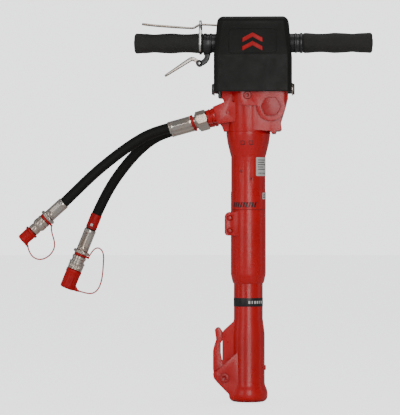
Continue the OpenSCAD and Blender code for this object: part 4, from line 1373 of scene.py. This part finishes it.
def cap_bm(ribs, stations, sides, dome, pocket, tab):
    """A ribbed cap. dome is (where it starts, its length, its flat end's radius, its rounding)."""
    dome_from, dome_len, flat_r, round_r = dome

    def radius(z, angle):
        if z >= dome_from:
            t = (z - dome_from) / dome_len
            return flat_r + round_r * math.sqrt(max(0, 1 - t * t))
        return ribs(z, angle)

    shell = turned(radius, stations, sides)
    return merged(carved(shell, pocket), cap_tab(*tab))


def make_caps():
    """The cap on the male coupler, and the plug with a black core in the female one."""
    outline = sloping([(0, 12.4), (0.6, 13), (3.4, 13), (4.2, 12.2), (4.8, 11.1), (22, 10.8)])
    ribs = ribbed(outline, 14, 0.5, 5.2, 19.4, ease=2, power=2, phase=-1)
    stations = [0, 0.3, 0.6, 2, 3.4, 3.8, 4.2, 4.5, 4.8, 5.6, 6.8, 9, 12, 15, 17.5, 18.6, 19.4]
    stations += [20.5, 21.4, 22.3, 23.2, 24.0, 24.6, 24.9, 25.0]
    pocket = rod(-1, 20, 8.9)
    tab = ((-8, 15.5), (-13.4, 22.6), 25.6)
    cap = cap_bm(ribs, stations, 168, (21.4, 3.6, 7.9, 3), pocket, tab)
    stand_in(moved(cap, further(ENDS[0], 77.4)), "cap_1", sharp=35)

    place = further(ENDS[1], 79.9)
    outline = sloping([(0, 14.0), (0.6, 14.6), (5.4, 14.6), (6.2, 14.1), (7, 13.9), (33, 13.9)])
    ribs = ribbed(outline, 16, 0.6, 7.4, 28, ease=2, power=2, phase=-1)
    stations = [0, 0.3, 0.6, 3, 5.4, 5.8, 6.2, 6.6, 7, 8, 9.4, 12, 16, 20, 24, 26, 27, 28, 30.5]
    stations += [33, 34.2, 35.2, 36, 36.5, 36.85, 37]
    pocket = rod(-1, 5.1, 8.85, 72)
    tab = ((-11, 23), (-20.6, 31.8), 36)
    cap = cap_bm(ribs, stations, 192, (33, 4, 9.9, 4), pocket, tab)
    stand_in(moved(cap, place), "cap_2", sharp=35)
    stem = [(-12, 0.5), (-12, 8.77), (-6, 8.77), (-5.6, 8.1), (-3.4, 8.1), (-3, 8.77), (5, 8.77), (5, 0.5)]
    stand_in(moved(lathe(rounded(stem, 0.5), 72), place), "plug_core")


def make_marker():
    """The red sleeve on the return hose, with its black line and a plain white dash."""
    place = outwards(END_2, DROP_2)
    profile = [(1, 9.6), (1, 10.0), (1.4, 10.3), (28.6, 10.3), (29, 10.0), (29, 9.6)]
    stand_in(moved(lathe(rounded(profile, 0.2, 2), 96, HOSE_D / 2 + 0.03), place), "hose_marker")
    line = lathe([(25.6, 10.2), (25.6, 10.36), (26.6, 10.36), (26.6, 10.2)], 96, 10.0)
    finish_piece(moved(line, place), "marker_line", "hose_marker", slot="black_label")
    dash = []
    for i in range(13):
        a = math.radians(-100 + 26 * i / 12)
        corners = ((10.2, 19.5), (10.38, 19.5), (10.38, 24), (10.2, 24))
        dash.append([(r * math.cos(a), r * math.sin(a), z) for r, z in corners])
    finish_piece(moved(skinned(dash), place), "marker_dash", "hose_marker", slot="white_label")


def make_lanyard_rings():
    """A ring on each coupler with a rounded eye for the lanyard."""
    profile = [(0, 8.2), (0, 11.3), (0.5, 11.8), (3.5, 11.8), (4, 11.3), (4, 8.2)]
    arc = [math.radians(a) for a in range(90, 271, 15)]
    outline = [(-10, 2), *((-13 + 2 * math.cos(a), 2 * math.sin(a)) for a in arc), (-10, -2)]
    rings = []
    for coupler in COUPLERS:
        eye = skinned([
            [(x, y * k, z) for x, y in outline]
            for z, k in ((0.2, 0.85), (0.6, 1), (3.4, 1), (3.8, 0.85))
        ])
        ring = lathe(rounded(profile, 0.4), 96, 8.05)
        rings.append(moved(merged(ring, eye), further(coupler, 6)))
    stand_in(merged(*rings), "lanyard_rings")


# ---------------------------------------------------------------- castings, screws and labels

SOFTENED = {
    "front_head": (0.9, 30), "latch": (1.1, 30), "latch_pin": (0.5, 32),
    "lower_housing": (0.5, 40), "upper_housing": (0.35, 40), "valve_block": (1.0, 30),
    "front_plate": (0.9, 30), "hex_plug": (0.6, 25), "handle_bracket": (0.5, 40),
    "block_screws": (0.4, 40), "lug_bolts": (0.3, 40),
}
UPPER_R, LOWER_R, FLARE_R = 31.2, 31.9, 37.75
BAND_LOW, BAND_HIGH, BAND_R = 173.5, 189, 26.75
LABEL_AT, SMALL_LABEL_AT = 57, 66


def make_castings():
    for node, (width, angle) in SOFTENED.items():
        softened(node, width, angle)


def make_housing_plugs():
    profile = [(-4, 0.4), (-4, 2.95), (0.4, 2.95), (0.9, 2.5), (0.9, 0.4)]
    plugs, socket_shade_discs = [], []
    for x, z, front in ((-11.6, 419, 29.8), (6.7, 405, UPPER_R)):
        place = along_y(x, -front, z, -1)
        plug = moved(lathe(rounded(profile, 0.3), 48), place)
        plugs.append(carved(plug, socket_cut(further(place, 0.9), 2.9, 1.6)))
        # Painted shade: a thin black rubber disc at the floor of each hex socket darkens it.
        socket_shade_discs.append(moved(rod(-0.9, -0.5, 1.55, 24), place))
    stand_in(merged(*plugs), "housing_plugs")
    finish_piece(merged(*socket_shade_discs), "plug_socket_shade", "housing_plugs", slot="seal_rubber")


def make_seam():
    """The gasket that shows between the two housings."""
    profile = [(348.5, 30.9), (348.5, 31.5), (349, 31.6), (349.5, 31.5), (349.5, 30.9)]
    finish_piece(lathe(profile, 128, 30.8), "housing_seam", "housing_seal")


def wrapped_plate(
    width, height, corner, radius, middle, angle, lift, slant=0.0, flare=0.0, columns=24
):
    """A thin decal wrapped on the housing, angle degrees round from its front."""
    rows = []
    for i in range(columns + 1):
        x = width * (i / columns - 0.5)
        inset = max(0, corner - (width / 2 - abs(x)))
        half = height / 2 - corner + math.sqrt(max(0.01, corner * corner - inset * inset))
        row = []
        for depth, y in ((-0.2, -half), (lift, -half), (lift, half), (-0.2, half)):
            a = math.radians(angle) + (x + slant * y) / radius
            r = radius + depth + flare * y
            row.append((r * math.sin(a), -r * math.cos(a), middle + y))
        rows.append(row)
    return skinned(rows)


def decal(name, node, slot, shapes):
    finish_piece(merged(*shapes), name, node, slot=slot, sharp=60)


def make_labels():
    """Plain labels with generic marks in place of lettering."""
    plate = wrapped_plate(31, 34, 1.6, UPPER_R, 427, LABEL_AT, 0.4)
    stand_in(plate, "type_plate", slot="white_label", sharp=60)
    marks = []
    for row, (width, shift) in enumerate(((22, -1), (18, -3), (24, 0), (14, -5), (20, -2))):
        place = LABEL_AT + math.degrees(shift / UPPER_R)
        marks.append(wrapped_plate(width, 1.3, 0.3, UPPER_R, 439 - 4.2 * row, place, 0.48))
    for k in range(9):
        place = LABEL_AT + math.degrees((2.4 * k - 10) / UPPER_R)
        marks.append(wrapped_plate(0.7 + 0.3 * (k % 3), 3, 0.1, UPPER_R, 414.8, place, 0.48, columns=3))
    decal("type_plate_marks", "type_plate", "black_label", marks)
    small = wrapped_plate(12, 12, 1, LOWER_R, 374, SMALL_LABEL_AT, 0.12)
    decal("small_label", "upper_housing", "white_label", [small])
    bars = [wrapped_plate(9, 1.2, 0.2, LOWER_R, 377 - 3 * k, SMALL_LABEL_AT, 0.2) for k in range(3)]
    decal("small_label_marks", "upper_housing", "black_label", bars)


def make_housing_marks():
    """A row of slanted bars, and two small square outlines on the flare."""
    bars = []
    for k in range(9):
        bars.append(wrapped_plate(3.1, 9.6, 0.3, LOWER_R, 358, 9.4 * k - 50, 0.12, slant=0.3, columns=6))
    decal("housing_bars", "upper_housing", "black_label", bars)
    half, middle, flare = 3.3, 470, 0.16
    sides = []
    for place in (-14, 9):
        for side in (-1, 1):
            edge = place + side * math.degrees(half / FLARE_R)
            sides.append(wrapped_plate(0.9, 7.5, 0.1, FLARE_R, middle, edge, 0.12, 0, flare, 2))
            r, z = FLARE_R + side * 0.53, middle + side * half
            sides.append(wrapped_plate(6, 0.9, 0.1, r, z, place, 0.12, 0, flare, 6))
    decal("housing_frames", "upper_housing", "black_label", sides)


def make_neck_band():
    band = washer(BAND_LOW, BAND_HIGH, 26.2, BAND_R, 0.15, 128, 26.42, 2)
    stand_in(band, "neck_band")
    marks = []
    for k, width in enumerate((3.6, 2.2, 3.6, 3.6, 2.2, 3.6)):
        marks.append(wrapped_plate(width, 5.2, 0.4, BAND_R, 181.2, 6 + 11.5 * k, 0.1, columns=6))
    decal("neck_band_marks", "neck_band", "white_label", marks)


# ---------------------------------------------------------------- assembly

make_camera()
make_lights()
make_floor()
cords = make_cords()
make_hood()
make_badge()
make_grips()
make_collars()
make_handle_bar()
make_bracket_bolts()
make_throttle_lever()
make_lever_guide()
make_trigger()
make_trigger_bracket()
make_trigger_pin()
make_springs()
make_port_fittings()
make_couplers()
make_caps()
make_marker()
make_lanyard_rings()
make_castings()
make_housing_plugs()
make_seam()
make_labels()
make_housing_marks()
make_neck_band()
declare_cords(cords)

for node, cad in frame["nodes"].items():
    cad.data.materials.clear()
    cad.data.materials.append(material(node_slot(node)))

new_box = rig.bounds()
with open("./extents.json", "w") as size_file:
    json.dump({"cad": [list(c) for c in cad_box], "visual": [list(c) for c in new_box]}, size_file)
